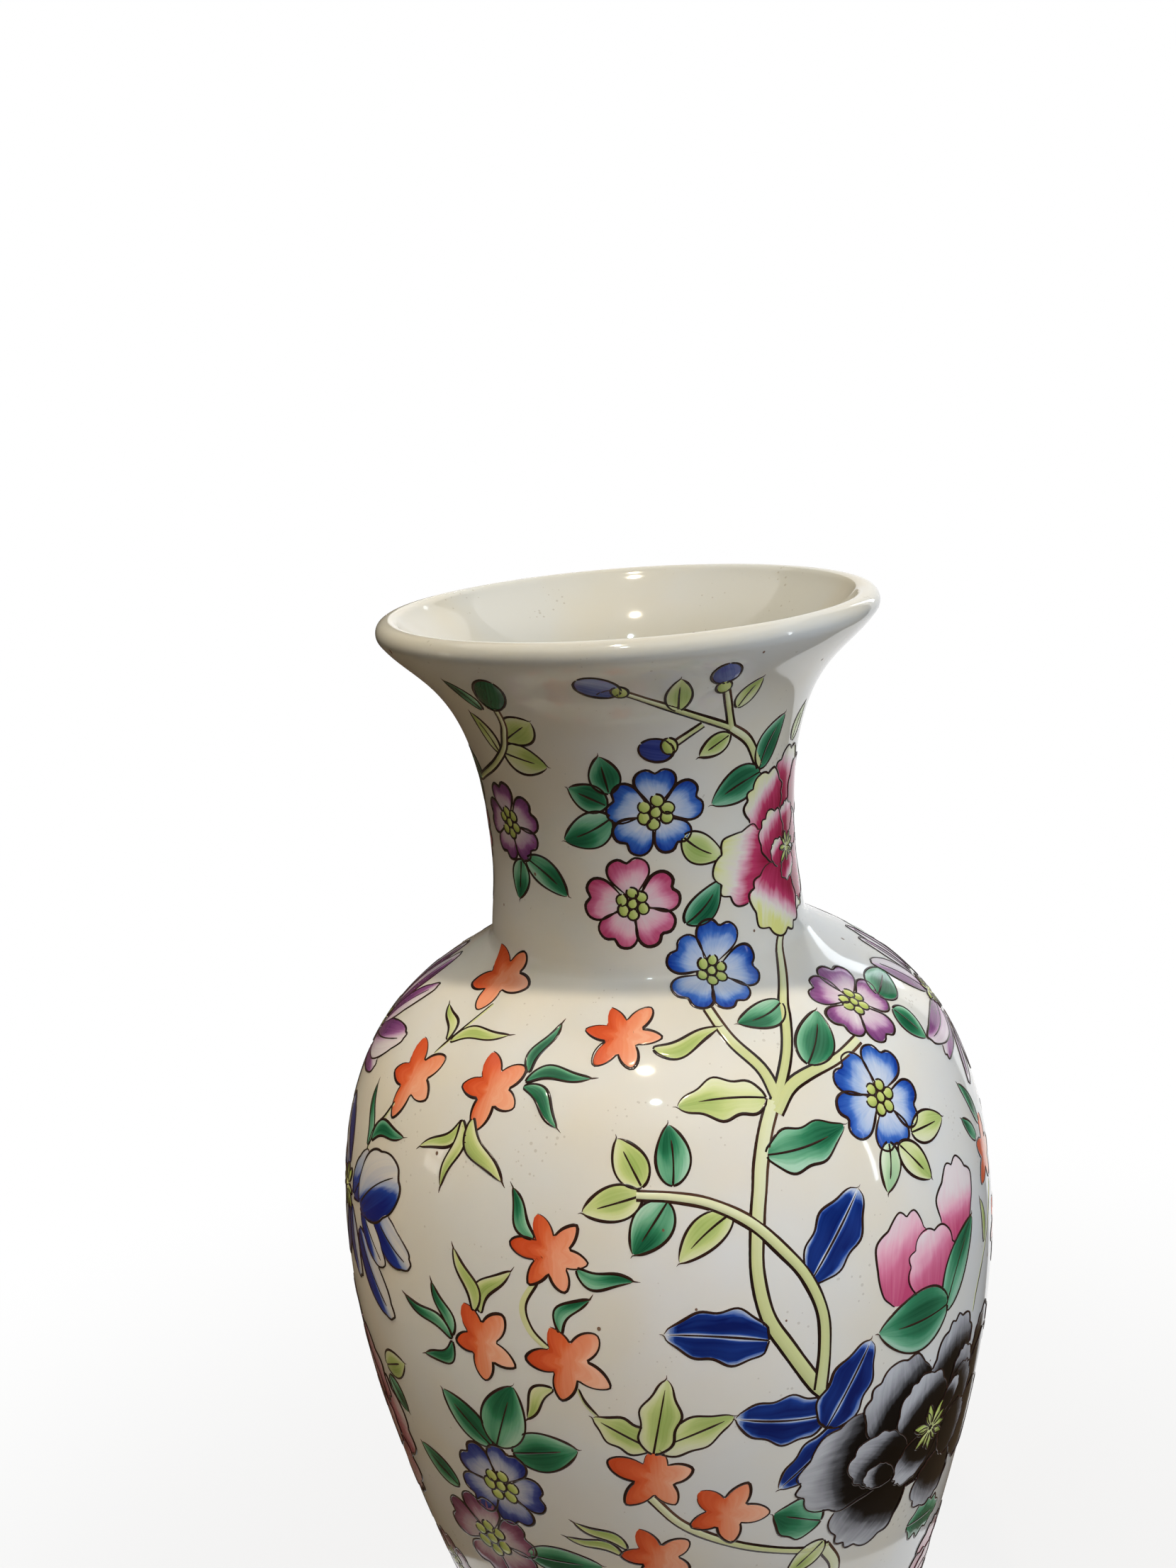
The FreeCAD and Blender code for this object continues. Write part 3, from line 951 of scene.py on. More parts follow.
def layered(pot, place, petals, wash, line=0.62, scallops=9, depth=0.15, point=0.0, notch=0.0,
            fold=0.0):
    """Petals from the lowest to the topmost: base and tip in millimetres from the place, width,
    stronger side and paleness. A petal's outline stops where a later petal covers it."""
    disc_x, disc_y = disc(19, 0.03)[2:]
    around = np.linspace(-3.05, 3.05, 130)
    rims = []
    for level, (base, tip, width, stronger, pale) in enumerate(petals):
        long = math.hypot(tip[0] - base[0], tip[1] - base[1])
        lean = math.atan2(base[0] - tip[0], tip[1] - base[1])
        shape = (scallops + int(hand.integers(0, 2)), depth, hand.uniform(0.0, 3.0), point, notch)
        sag = hand.uniform(-0.06, 0.06) * long

        def set_down(in_disc_x, in_disc_y):
            x, t = broad_petal(in_disc_x, in_disc_y, shape)
            aside = x * width / 2.0 + sag * 4.0 * t * (1.0 - t)
            return (base[0] + aside * math.cos(lean) - t * long * math.sin(lean),
                    base[1] + aside * math.sin(lean) + t * long * math.cos(lean), x, t)

        across, up, x, t = set_down(disc_x, disc_y)
        patch(pot, across, up, place, 0.0, wash(t, x, stronger) * pale, FILL + LEVEL * level)
        rim = set_down(np.sin(around), np.cos(around))[:2]
        crease = set_down(np.zeros(16), np.linspace(-0.9, fold - 0.1 * hand.random(), 16))[:2]
        rims.append(((*rim, line), (*crease, line * 0.8)))
    top = FILL + LEVEL * len(petals) + 0.05
    for level, lines in enumerate(rims):
        for line_x, line_y, weight in lines[:2 if fold else 1]:
            covered = np.zeros(len(line_x), bool)
            for (rim_x, rim_y, _), _ in rims[level + 1:]:
                covered |= within(line_x, line_y, rim_x, rim_y)
            ends = np.flatnonzero(np.diff(np.concatenate(([True], covered, [True])).astype(int)))
            for first, last in zip(ends[::2], ends[1::2]):
                if last - first > 4:
                    outline_stroke(line_x[first:last], line_y[first:last], place, 0.0,
                                   weight * hand.uniform(0.85, 1.2), lift=top, press=(0.6, 0.4),
                                   step=0.75)


def wall_flower(pot, place, rows, wash, **habits):
    """A flower whose petals are given by places on the wall: the turn and height of the base, the
    turn and height of the tip, width, stronger side and paleness."""
    petals = [(away(place, row[:2]), away(place, row[2:4]), *row[4:]) for row in rows]
    layered(pot, place, petals, wash, **habits)


def deep_heart(t, x, stronger):
    """Deep at the base and along one side, then white, then cream at the rim."""
    return -0.02 + 1.05 * np.clip(t, 0.0, 1.0) ** 1.5 - 0.42 * stronger * x


def ink_heart(t, x, stronger):
    """Black from the base outward, with a grey rim."""
    return -0.42 + 1.5 * np.clip(t, 0.0, 1.0) ** 1.4 + 0.3 * x * x - 0.62 * stronger * x


def half_petal(t, x, stronger):
    """Colour on one half of the petal, bare on the other, fading to a bare tip."""
    return 0.05 + 0.55 * np.clip(t, 0.0, 1.0) ** 1.3 + 0.48 * np.tanh(-4.0 * stronger * x) + 0.3 * t


def ring_of(count, inner, outer, width, lean):
    """A ring of petals about a flower's middle."""
    petals = []
    for number in hand.permutation(count):
        a = math.radians(lean + 360.0 * number / count + hand.uniform(-7.0, 7.0))
        reach = outer * hand.uniform(0.9, 1.1)
        base, tip = [(-math.sin(a) * far, math.cos(a) * far) for far in (inner, reach)]
        petals.append((base, tip, width * hand.uniform(0.9, 1.12),
                       hand.choice((-0.9, -0.4, 0.4, 0.9)), hand.uniform(0.82, 1.0)))
    return petals


def peony(pot, turn, height, size, lean=0.0):
    """A full peony in three rings round a tuft."""
    reach = size / 2.0
    petals = (ring_of(7, reach * 0.15, reach, reach * 0.92, lean)
              + ring_of(5, reach * 0.1, reach * 0.66, reach * 0.7, lean + 20.0)
              + ring_of(3, reach * 0.02, reach * 0.36, reach * 0.44, lean + 50.0))
    layered(pot, (turn, height), petals, deep_heart)
    tuft((turn, height), (0.0, 0.0), size * 0.22, lean)


# %% [markdown]
# ## The painting on the neck
# Three indigo buds hang on a forked stalk that grows from a peony at the right. Blue, rose and
# violet blossoms float below them. Places are turns from the front in degrees and heights above
# the table in millimetres.

# %% Neck
def neck_painting(front=True):
    """The flowers of one side of the neck; the back has no peony."""
    stem(((-3, 440), (5, 435), (16, 429), (30, 422)), 1.7)
    stem(((24, 437), (27, 430), (30, 422)), 1.8, (0.8, 1.1))
    stem(((11, 419), (17, 423), (20, 425)), 1.5)
    stem(((30, 422), (38, 416), (45, 406)), 2.2, (1, 1.2))
    for place, lean, size, stretch, pale in (((-8, 442), 62, 10.5, 1.4, 0.22),
                                             ((22, 443), 20, 9.8, 1.1, 0.12),
                                             ((6, 418), 72, 8.4, 1.35, -0.08)):
        dab("indigo_petals", place, (0, 0), size, lean, stretch, lift=0.14, line=0.8,
            wash_low=0.1 + pale, wash_high=0.35 + pale)
    for cup in ((-3, 440), (23, 438), (10, 419)):
        dab("green_centres", cup, (0, 0), 5.2, 20, 1.2, lift=0.16, line=0.7)
    light((-3, 440, -9, 439, 3.6), vein=0)
    light((12, 431, 11, 443, 7.5), (30, 429, 34, 439, 6.5), (30, 420, 20, 414, 7))
    emerald((45, 405, 54, 422, 9.5, -0.06), (46, 404, 25, 397, 11, 0.05), (-10, 404, -12, 417, 9),
            (-11, 400, -24, 406, 8.5), (-10, 396, -28, 388, 10.5, -0.05))
    light((14, 388, 29, 379, 9, 0.08))
    blossom("blue_petals", 5, 397, 30, lean=-6)
    blossom("rose_petals", -5, 367, 30, lean=4, centre=0.9)
    emerald((13, 359, 27, 371, 8.5, 0.08))
    blossom("violet_petals", -54, 391, 27, lean=10)
    emerald((-50, 379, -53, 365, 8), (-47, 380, -29, 369, 8.5, -0.06))
    stem(((-40, 433), (-41, 427), (-43, 423), (-46, 418), (-52, 413), (-59, 409), (-71, 404)), 1.7,
         top=0.2)
    dab("emerald_leaves", (-37.5, 439), (0, 0), 10.8, -31, 1.8, lift=0.22, line=0.8, wash_low=-0.1,
        wash_high=0.25)
    emerald((-46, 432, -50, 443, 6))
    light((-44, 421, -30, 429, 10), full=1.15)
    light((-47, 416.5, -30, 413, 10), (-49, 416, -54, 430, 6))
    emerald((-70, 404, -84, 412, 8))
    if not front:
        blossom("rose_petals", 62, 384, 29, lean=30)
        emerald((64, 398, 70, 412, 9), (60, 369, 46, 360, 9))
        return
    middle = (63, 374)
    wall_flower("peony_petals", middle, (
        (64, 386, 67, 409, 24, -0.5, 0.85), (72, 376, 93, 379, 26, 0.5, 0.85),
        (70, 384, 88, 399, 24, -0.5, 0.85), (66, 367, 73, 351, 20, 0.5, 0.95),
        (70, 369, 86, 359, 24, 0.6, 0.85), (53, 382, 49, 404, 22, 0.8, 1),
        (56, 371, 25, 378, 28, -0.2, 1.1), (60, 371, 48, 348, 31, -0.3, 1.25),
        (69, 376, 80, 380, 15, 0.5, 0.7), (64, 377, 67, 390, 14, 0.6, 0.7),
        (55, 371, 54, 390, 16, 0.7, 0.75), (58, 369, 57, 379, 10, 0.7, 0.8),
        (64, 372, 67, 363, 13, 0.6, 0.75)), deep_heart, line=0.55, scallops=9, depth=0.17)
    tuft(middle, (2, 0), 13, 10)
    light((66, 410, 70, 422, 7))
    emerald((96, 393, 108, 403, 9.5), (94, 364, 108, 358, 9.5))


# %% [markdown]
# ## The flowering branch on the right
# One broad stem climbs from the black peony, crosses a second one, and forks to two blue
# blossoms, a violet one and, up the neck, the rose peony.

# %% Branch, black peony and what grows round them
def part_peony():
    """A half-open rose peony: three scalloped petals rising from behind two leaves."""
    middle = (47, 252)
    wall_flower("rose_petals", middle, (
        (54, 250, 57, 277, 27, 0.1, 1.9), (37, 242, 42, 271, 27, 0.9, 0.85),
        (45, 236, 47, 262, 28, 0.8, 0.85)), deep_heart, line=0.55, scallops=7, depth=0.16)


def branch_painting(front=True):
    """The tall branch with its blossoms and the black peony at its foot."""
    stem(((57, 349), (51, 345), (37, 334), (33, 330), (28, 323), (24, 317), (21, 312)), 2.6,
         (0.8, 1.2))
    stem(((14.5, 335), (17, 328), (21, 321), (22, 314)), 2.8, (0.9, 1.3))
    stem(((46, 320), (38, 318), (30, 317), (25, 315), (21, 310)), 3, (0.8, 1.3))
    stem(((21, 313), (18, 306), (16, 298), (15, 291), (14, 283), (13, 268), (14, 253), (17, 241),
         (21, 227), (23, 222)), 3.9, (0.95, 1.1))
    stem(((-5, 293), (1, 292), (7, 289), (13, 282), (18, 271), (21, 262), (23, 250), (23, 238),
         (22, 224)), 3.3, (0.7, 1.15), top=0.16)
    blossom("blue_petals", 20, 343, 32, lean=-20, centre=0.82)
    emerald((35, 333, 20, 331, 9, -0.08))
    blossom("violet_petals", 54, 327, 32, lean=40, centre=0.85)
    emerald((63, 325, 77, 327, 12), (63, 321, 66, 310, 10), (31, 319, 41, 329, 12, 0.05))
    blossom("blue_petals", 43, 305, 34, lean=30, centre=0.86)
    light((47, 292, 57, 290, 9))
    light((43, 291, 49, 276, 8.5), lift=0.15)
    leaf("pale_leaves", (41, 293), (38, 279), 8, bend=-0.05)
    light((20, 314, 3, 315, 11.5, 0.06), wave=0.16)
    emerald((17, 300, 33, 302, 12, 0.05), wave=0.13)
    light((-4, 295, -8, 308, 9.5))
    emerald((1, 295, 1, 311, 9.5, 0.04))
    light((-4, 293, -14, 288, 9.5))
    emerald((0, 291, -6, 276, 11))
    light((10, 286, 1, 273, 9, 0.05))
    cobalt((21, 260, 32, 284, 15), full=1.05)
    cobalt((14, 245, -2, 251, 15.5, 0.03), (23, 214, 8, 220, 15, -0.03), (26, 207, 15, 190, 11))
    cobalt((23, 209, 31.5, 235, 15), lift=0.15)
    part_peony()
    emerald((50, 232, 33, 236, 19, -0.03), lift=0.27)
    emerald((49, 230, 60, 254, 13, -0.06), lift=0.19)
    middle = (47, 187)
    wall_flower("black_petals", middle, (
        (40, 170, 52, 209, 50, 0, 0), (62, 188, 71, 211, 24, -0.2, 0.8),
        (54, 192, 54, 224, 29, 0.15, 1.05), (58, 184, 78, 188, 36, 0.3, 0.8),
        (57, 182, 72, 162, 32, 0.2, 0.9), (54, 174, 50, 151, 27, -0.3, 1),
        (40, 181, 27, 158, 36, 0.2, 1.05), (39, 185, 18, 193, 38, 0.1, 1.1),
        (39, 189, 38, 223, 33, 0.8, 1.05), (55, 189, 58, 209, 18, -0.3, 1.1),
        (43, 184, 45, 212, 28, 0.8, 1.1), (52, 184, 61, 199, 22, -0.4, 0.7),
        (41, 180, 28, 194, 22, -0.4, 1), (38, 178, 31, 184, 10, 0.3, 1),
        (51, 184, 61, 175, 22, 0.4, 0.7), (50, 183, 38, 175, 18, 0.7, 1.1),
        (50, 190, 56, 199, 9, 0.1, 1.2)), ink_heart, line=0.45, scallops=10, depth=0.11)
    tuft(middle, (0.5, 0.5), 20, -60, 12)
    emerald((23, 172, 14, 180, 15), wave=0.08)
    emerald((46, 147, 60, 141, 13), wave=0.2, waves=4)
    light((24, 163, 17, 152, 8))
    if not front:
        return
    middle = (89, 312)
    wall_flower("violet_petals", middle, (
        (95, 317, 101, 333, 16, 1, 1.2), (97, 312, 111, 318, 17, -1, 1.2),
        (96, 307, 108, 299, 17, 1, 1.2), (92, 303, 99, 286, 16, -1, 1.2),
        (90, 318, 92, 332, 9, 1, 1.8), (84, 301, 75, 287, 9, 1, 1.6),
        (88, 302, 87, 283, 14, 1, 1.3), (87, 306, 69, 301, 12, -1, 1.1),
        (87, 310, 66, 309, 13, 1, 1), (87, 314, 77, 330, 15, -1, 1.1)),
        half_petal, scallops=5, depth=0.07, point=0.35, notch=0.07, fold=0.8)
    tuft(middle, (0, 0), 18)
    star(73, 265, 26, lean=-20)
    emerald((73, 275, 68, 293, 5, 0.04), (69, 273, 64, 284, 4.6), vein=0)
    twig(((74, 254), (69, 242), (62, 226), (60, 218)))
    light((66, 238, 65, 255, 3.6, 0.1), vein=0)
    star(78, 233, 25, lean=15)


# %% [markdown]
# ## The two sides
# Between the front and the back, where neither painting reaches, a thread of small flowers comes
# down each side of the belly.

# %% Sides
def side_painting(turn, way, low=True):
    """Stars and blossoms down a side; way is 1 or -1, as their stem leans right or left."""
    star(turn, 258, 27, lean=15)
    slim_emerald((turn - 6 * way, 262, turn - 12 * way, 273, 4.6, -0.08 * way))
    slim_light((turn + 6 * way, 256, turn + 13 * way, 251, 4.8, 0.1 * way))
    twig(((turn, 248), (turn + 1.5 * way, 240), (turn + way, 232), (turn, 224)), 1.5)
    emerald((turn - 5 * way, 218, turn - 13 * way, 228, 9.5),
            (turn + 5 * way, 216, turn + 13 * way, 222, 9.5))
    blossom("blue_petals", turn, 209, 31, lean=10)
    light((turn + 4 * way, 198, turn + 10 * way, 187, 8))
    twig(((turn - way, 196), (turn - 3 * way, 188), (turn - 2 * way, 180), (turn, 174)), 1.5, -1)
    star(turn + way, 166, 26, lean=-20)
    slim_light((turn - 5 * way, 168, turn - 12 * way, 176, 4.4, 0.1 * way))
    slim_emerald((turn - 5 * way, 163, turn - 13 * way, 158, 4.4, -0.1 * way))
    if low:
        twig(((turn, 156), (turn + 2 * way, 148), (turn + way, 140)), 1.5)
        emerald((turn + 6 * way, 130, turn + 15 * way, 138, 9))
        blossom("violet_petals", turn, 127, 29, lean=-15)
        light((turn - 6 * way, 120, turn - 14 * way, 112, 8))


# %% [markdown]
# ## The vine of star flowers on the left
# Iron-red stars hang on thin stems down the left of the belly, each with a few slim leaves. The
# line that runs from star to star leads the eye from the neck to the black peony.

# %% Vine of star flowers
def vine_painting(front=True):
    """Stars from the neck's root down the left side, and the leaves below them."""
    star(-55, 339, 30, lean=50, lobes=(1, 0.9, 0.95, 0.95, 0.85))
    twig(((-49, 334), (-52, 327), (-55, 320)), line_side=-1)
    slim_light((-54, 324, -64, 330, 4, 0.12), (-53, 324, -38, 329, 5, -0.1))
    star(-57, 313, 30, lean=30)
    twig(((-59, 305), (-61, 299), (-64, 293), (-65, 281)), line_side=-1)
    slim_emerald((-65, 287, -69, 305, 4.5, 0.05), (-64, 290, -53, 297, 5.5, -0.14))
    star(-35, 317, 27, lean=28)
    slim_emerald((-28, 322, -25, 333, 4, -0.06), (-28, 320, -14, 322, 4.6, -0.12, 0.15),
                 (-28, 319, -19, 310, 4.8, -0.1, 0.22))
    slim_light((-39, 308, -48, 297, 4.2, -0.14), (-39, 308, -41, 288, 4.4, -0.06, 0.15),
               (-37, 309, -28, 294, 6.2, 0.12, 0.22))
    star(-8, 331, 27, lean=20, lobes=(0.9, 0.95, 1.05, 0.95, 0.95, 1))
    slim_light((-1, 328, 15, 331, 6.5, 0.09))
    star(-19, 275, 27, lean=20, lobes=(0.95, 1.05, 0.98, 0.92, 0.9, 0.95))
    slim_emerald((-22, 279, -26, 293, 5, -0.08), (-15, 271, -6, 268, 5.5, 0.1))
    twig(((-21.5, 267), (-24, 258), (-23, 250), (-20, 244)), 2.4, 1)
    star(-32, 242, 27, lean=32, lobes=(1, 0.8, 1, 1, 1.05))
    slim_light((-33, 252, -37, 271, 5.2, 0.08, 0.15), (-32, 252, -26, 268, 5.6, -0.16))
    slim_emerald((-38, 241, -42, 257, 4.8, 0.05), (-38, 240, -49, 248, 4.6, 0.05, 0.15),
                 (-38, 239, -45, 230, 4.8, -0.2))
    star(-17, 241, 29, lean=25, lobes=(0.85, 1, 1, 1.05, 0.95))
    slim_emerald((-18, 250, -13, 262, 4.8, -0.22))
    slim_light((-20, 231, -25, 218, 5.2, 0.12))
    twig(((-16, 232), (-15, 227), (-13, 222)), 1.1, 1)
    light((-5, 209, -2, 236, 11), wave=0.14, vein=0.9, lift=0.15)
    light((-5, 211, -14, 222, 10), wave=0.12, vein=0.9)
    light((-5, 211, 8, 221, 10.5), wave=0.1, vein=0.9)
    star(-5, 200, 29, lean=-5, lobes=(0.8, 1.1, 1.05, 0.85, 0.85))
    stem(((-6, 192), (-2, 182), (3, 175), (10, 168), (20, 161), (25, 160)), 2.2, (1.2, 0.8))
    star(6, 184, 29, lean=40, lobes=(0.9, 0.85, 0.9, 1, 0.95))
    star(-6, 167, 27, lean=20)
    slim_light((-11, 170, -20, 179, 4.4, 0.06), (-12, 167, -22, 172, 4.2, 0.08))
    emerald((-33, 203, -42, 219, 10.5))
    emerald((-32, 204, -27, 229, 14.5), lift=0.15)
    emerald((-29, 203, -17, 209, 13.5))
    blossom("indigo_petals", -33, 187, 34, lean=-24)
    blossom("mauve_petals", -39, 160, 38, lean=8)
    emerald((-31, 159, -16, 161, 11), (-44, 178, -53, 188, 9))
    light((-60, 212, -52, 220, 9))
    emerald((-60, 208, -55, 198, 8))
    if not front:
        return
    middle = (-95, 311)
    wall_flower("violet_petals", middle, (
        (-97, 318, -104, 336, 17, 1, 1.2), (-100, 314, -113, 324, 17, -1, 1.2),
        (-101, 308, -113, 302, 17, 1, 1.2), (-98, 303, -104, 286, 17, -1, 1.2),
        (-92, 302, -89, 286, 15, 1, 1.2), (-93, 317, -93, 336, 14, 1, 1.2),
        (-91, 305, -75, 306, 13, 1, 1.1), (-91, 309, -69, 319, 19, -0.8, 1.25),
        (-91, 313, -78, 331, 13, -1, 1.1)),
        half_petal, scallops=5, depth=0.07, point=0.35, notch=0.07, fold=0.8)
    tuft((-96, 311), (0, 0), 19)
    middle = (-76, 266)
    wall_flower("cobalt_petals", middle, (
        (-74, 274, -84, 292, 19, 1, 1.1), (-76, 270, -94, 274, 20, -1, 1.1),
        (-76, 264, -93, 254, 20, 1, 1.1), (-73, 262, -80, 238, 18, -1, 1),
        (-70, 266, -63, 286, 15, 0.3, 0.8), (-66, 258, -53, 235, 15, 0.8, 1.1),
        (-71, 262, -66, 239, 13, 0.8, 1), (-60, 271, -47, 258, 15, 0.7, 1.1),
        (-65, 267, -55, 252, 12, 0.5, 1.9), (-66, 266, -51, 286, 26, 0.9, 1.3)),
        half_petal, scallops=5, depth=0.09, point=0.16, notch=0.05, fold=0.8)
    tuft((-75, 266), (0, 0), 19)
    peony("crimson_petals", -76, 186, 76, lean=12)


# %% [markdown]
# ## The lower belly
# Below the black peony the wall narrows. Smaller flowers and leaves fill it down to a plain
# band above the foot, where a hand would hold the vase to lift it.

# %% Lower belly
def lower_painting():
    """Flowers and leaves between the big flowers and the foot."""
    stem(((24, 160), (27, 148), (24, 132), (15, 118), (3, 108), (-12, 104), (-24, 106)), 3.2,
         (1.1, 0.7))
    stem(((20, 122), (24, 104), (21, 84), (12, 66)), 2.8, (1.1, 0.7))
    blossom("rose_petals", -6, 137, 31, lean=12)
    emerald((2, 142, 14, 148, 10))
    light((-3, 122, 7, 112, 8.5))
    emerald((-15, 141, -27, 145, 9.5))
    emerald((24, 134, 37, 127, 13), wave=0.1)
    light((22, 128, 9, 132, 9))
    cobalt((22, 110, 36, 101, 13), (23, 96, 38, 82, 11))
    emerald((22, 92, 10, 90, 9))
    blossom("blue_petals", -31, 108, 30, lean=-12)
    emerald((-24, 118, -16, 126, 8.5))
    light((-38, 117, -49, 122, 8))
    emerald((-37, 100, -47, 92, 9))
    star(-10, 84, 24, lean=15)
    slim_light((-5, 87, 4, 93, 4.2, 0.1))
    slim_emerald((-15, 84, -25, 88, 4.4, 0.1))
    twig(((-8, 75), (-3, 66), (3, 58)), 1.1)
    star(7, 52, 21, lean=-10)
    slim_light((12, 52, 24, 55, 4, 0.1))
    slim_emerald((1, 52, -11, 50, 4, -0.1))
    peony("crimson_petals", 64, 104, 58, lean=8)
    emerald((48, 92, 40, 74, 11))
    light((62, 76, 56, 60, 9))
    emerald((80, 84, 90, 70, 10))
    blossom("violet_petals", 36, 56, 25, lean=20)
    emerald((29, 49, 21, 40, 7))
    blossom("mauve_petals", -60, 128, 29, lean=4)
    emerald((-69, 138, -80, 144, 10))
    stem(((-62, 116), (-60, 98), (-52, 80), (-40, 66)), 2.4, (0.8, 1.2))
    light((-59, 96, -72, 92, 9), wave=0.1)
    emerald((-56, 86, -72, 76, 9.5))
    blossom("rose_petals", -34, 55, 24, lean=0)
    emerald((-42, 52, -54, 48, 7.5))
    light((-28, 46, -20, 37, 6.5))


neck_painting()
branch_painting()
vine_painting()
lower_painting()
print("front painted:", {name: kept["count"] for name, kept in pots.items()})

# %% [markdown]
# ## Round the back
# The far side is painted with the same hand: the same groups again, turned half round and
# mirrored, so the big flowers of one side meet the stars of the other.

# %% Sides and back
side_painting(97, 1.0)
side_painting(-111, -1.0, low=False)
blossom("rose_petals", -90, 384, 27, lean=20.0)
emerald((-84, 394, -77, 406, 9.0), (-97, 392, -106, 401, 9.0))
light((-88, 371, -84, 358, 7.5))
layout["turn"] = 180.0
layout["flip"] = -1.0
hand = np.random.default_rng(31)
neck_painting(False)
branch_painting(False)
vine_painting(False)
lower_painting()
print("whole vase painted:", {name: kept["count"] for name, kept in pots.items()})

# %% [markdown]
# ## Enamel finishes
# Each pot gets its own glassy enamel. The finish reads the `wash` and `tone` that the brush
# left: a colour ramp runs from the full colour to the palest wash. Fine streaks along the stroke
# shift it a little, as brush hairs do, and so do broader pools where the enamel gathered.

# %% Brush streaks
streaks = new_tree("Brush streaks", "ShaderNodeTree", (
    ("Streaks", NUMBER, 0.1), ("Pooling", NUMBER, 0.08)), (("Wash", NUMBER, None),))
put, calc = tools(streaks)
given = put("NodeGroupInput").outputs
wash_here, tone_here = [put("ShaderNodeAttribute", attribute_name=mark).outputs["Fac"]
                        for mark in ("wash", "tone")]
shifted = wash_here
for strength, wash_scale, tone_scale, layer, detail in (
        (given["Streaks"], 1.6, 95.0, 0.0, 2.0), (given["Pooling"], 3.0, 17.0, 3.0, 1.0)):
    spot = put("ShaderNodeCombineXYZ", _0=calc("MULTIPLY", wash_here, wash_scale),
               _1=calc("MULTIPLY", tone_here, tone_scale), _2=layer)
    uneven = put("ShaderNodeTexNoise", _Vector=spot, _Scale=1.0, _Detail=detail)
    shifted = calc("MULTIPLY_ADD", calc("SUBTRACT", uneven, 0.5), strength, shifted)
put("NodeGroupOutput", _0=shifted)
print(streaks.name, "has", len(streaks.nodes), "nodes")


def enamel(name, washes):
    """An enamel from its full colour to its palest wash; each wash is a share, then its colour."""
    material, tree, inputs = new_finish(name, 0.12, Specular_IOR_Level=0.3)
    made = add(tree, "ShaderNodeGroup", node_tree=streaks, _Streaks=0.3, _Pooling=0.35)
    ramp = add(tree, "ShaderNodeValToRGB", _0=made)
    bar = ramp.color_ramp.elements
    for end, (share, *shade) in zip(bar, (washes[0], washes[-1])):
        end.position, end.color = share, colour(*shade)
    for share, *shade in washes[1:-1]:
        bar.new(share).color = colour(*shade)
    wire(tree, ramp, inputs["Base Color"])
    return material


# %% The colours on the vase
line_colour = ((0.0, 32, 19, 15), (0.6, 54, 34, 27), (1.0, 92, 64, 50))
palette = {
    "neck_lines": line_colour,
    "front_lines": line_colour,
    "back_lines": line_colour,
    "green_stems": ((0.0, 190, 194, 134), (0.5, 205, 208, 160), (1.0, 215, 216, 184)),
    "green_centres": ((0.0, 142, 160, 72), (0.5, 184, 194, 108), (1.0, 210, 212, 150)),
    "light_leaves": ((0.0, 148, 168, 90), (0.3, 184, 196, 124), (0.65, 204, 209, 156),
                     (1.0, 214, 215, 184)),
    "pale_leaves": ((0.0, 150, 184, 140), (0.5, 180, 204, 160), (1.0, 206, 216, 186)),
    "emerald_leaves": ((0.0, 16, 74, 48), (0.3, 50, 120, 84), (0.65, 104, 164, 128),
                       (1.0, 164, 202, 174)),
    "cobalt_leaves": ((0.0, 8, 26, 86), (0.35, 30, 64, 140), (0.65, 108, 132, 180),
                      (1.0, 204, 208, 210)),
    "blue_petals": ((0.0, 20, 56, 142), (0.3, 62, 106, 182), (0.62, 148, 170, 206),
                    (1.0, 206, 210, 214)),
    "indigo_petals": ((0.0, 30, 42, 114), (0.3, 72, 84, 146), (0.6, 138, 146, 180),
                      (1.0, 196, 196, 200)),
    "rose_petals": ((0.0, 182, 68, 104), (0.3, 205, 114, 142), (0.62, 221, 166, 180),
                    (1.0, 220, 208, 204)),
    "violet_petals": ((0.0, 104, 52, 102), (0.3, 146, 92, 140), (0.6, 190, 158, 182),
                      (1.0, 214, 206, 206)),
    "mauve_petals": ((0.0, 112, 56, 84), (0.4, 150, 104, 126), (0.7, 184, 158, 168),
                     (1.0, 206, 200, 196)),
    "cobalt_petals": ((0.0, 8, 28, 112), (0.3, 34, 66, 150), (0.55, 150, 164, 196),
                      (1.0, 212, 208, 200)),
    "peony_petals": ((0.0, 142, 24, 56), (0.25, 184, 58, 94), (0.48, 218, 160, 172),
                     (0.68, 222, 212, 198), (0.85, 220, 218, 176), (1.0, 214, 212, 128)),
    "crimson_petals": ((0.0, 112, 24, 48), (0.35, 156, 62, 84), (0.7, 196, 140, 150),
                       (1.0, 214, 200, 194)),
    "black_petals": ((0.0, 3, 3, 4), (0.25, 12, 12, 13), (0.5, 76, 76, 78), (0.75, 142, 142, 144),
                     (1.0, 184, 184, 184)),
    "star_reds": ((0.0, 196, 70, 34), (0.35, 216, 101, 60), (0.7, 227, 142, 104),
                  (1.0, 234, 180, 150)),
}
print("enamels", len(palette), "without a colour:", sorted(set(pots) - set(palette)))

# %% [markdown]
# ## Laying each pot on the wall
# The flat drawing of each pot becomes a mesh with its two marks, which are also its map for the
# finish, and the laying tree puts it on the glaze.

# %% Lay the pots
template_mesh = outline_mesh("outline_template", outer_outline)
template_piece = bpy.data.objects.new("outline_template", template_mesh)
bpy.context.scene.collection.objects.link(template_piece)


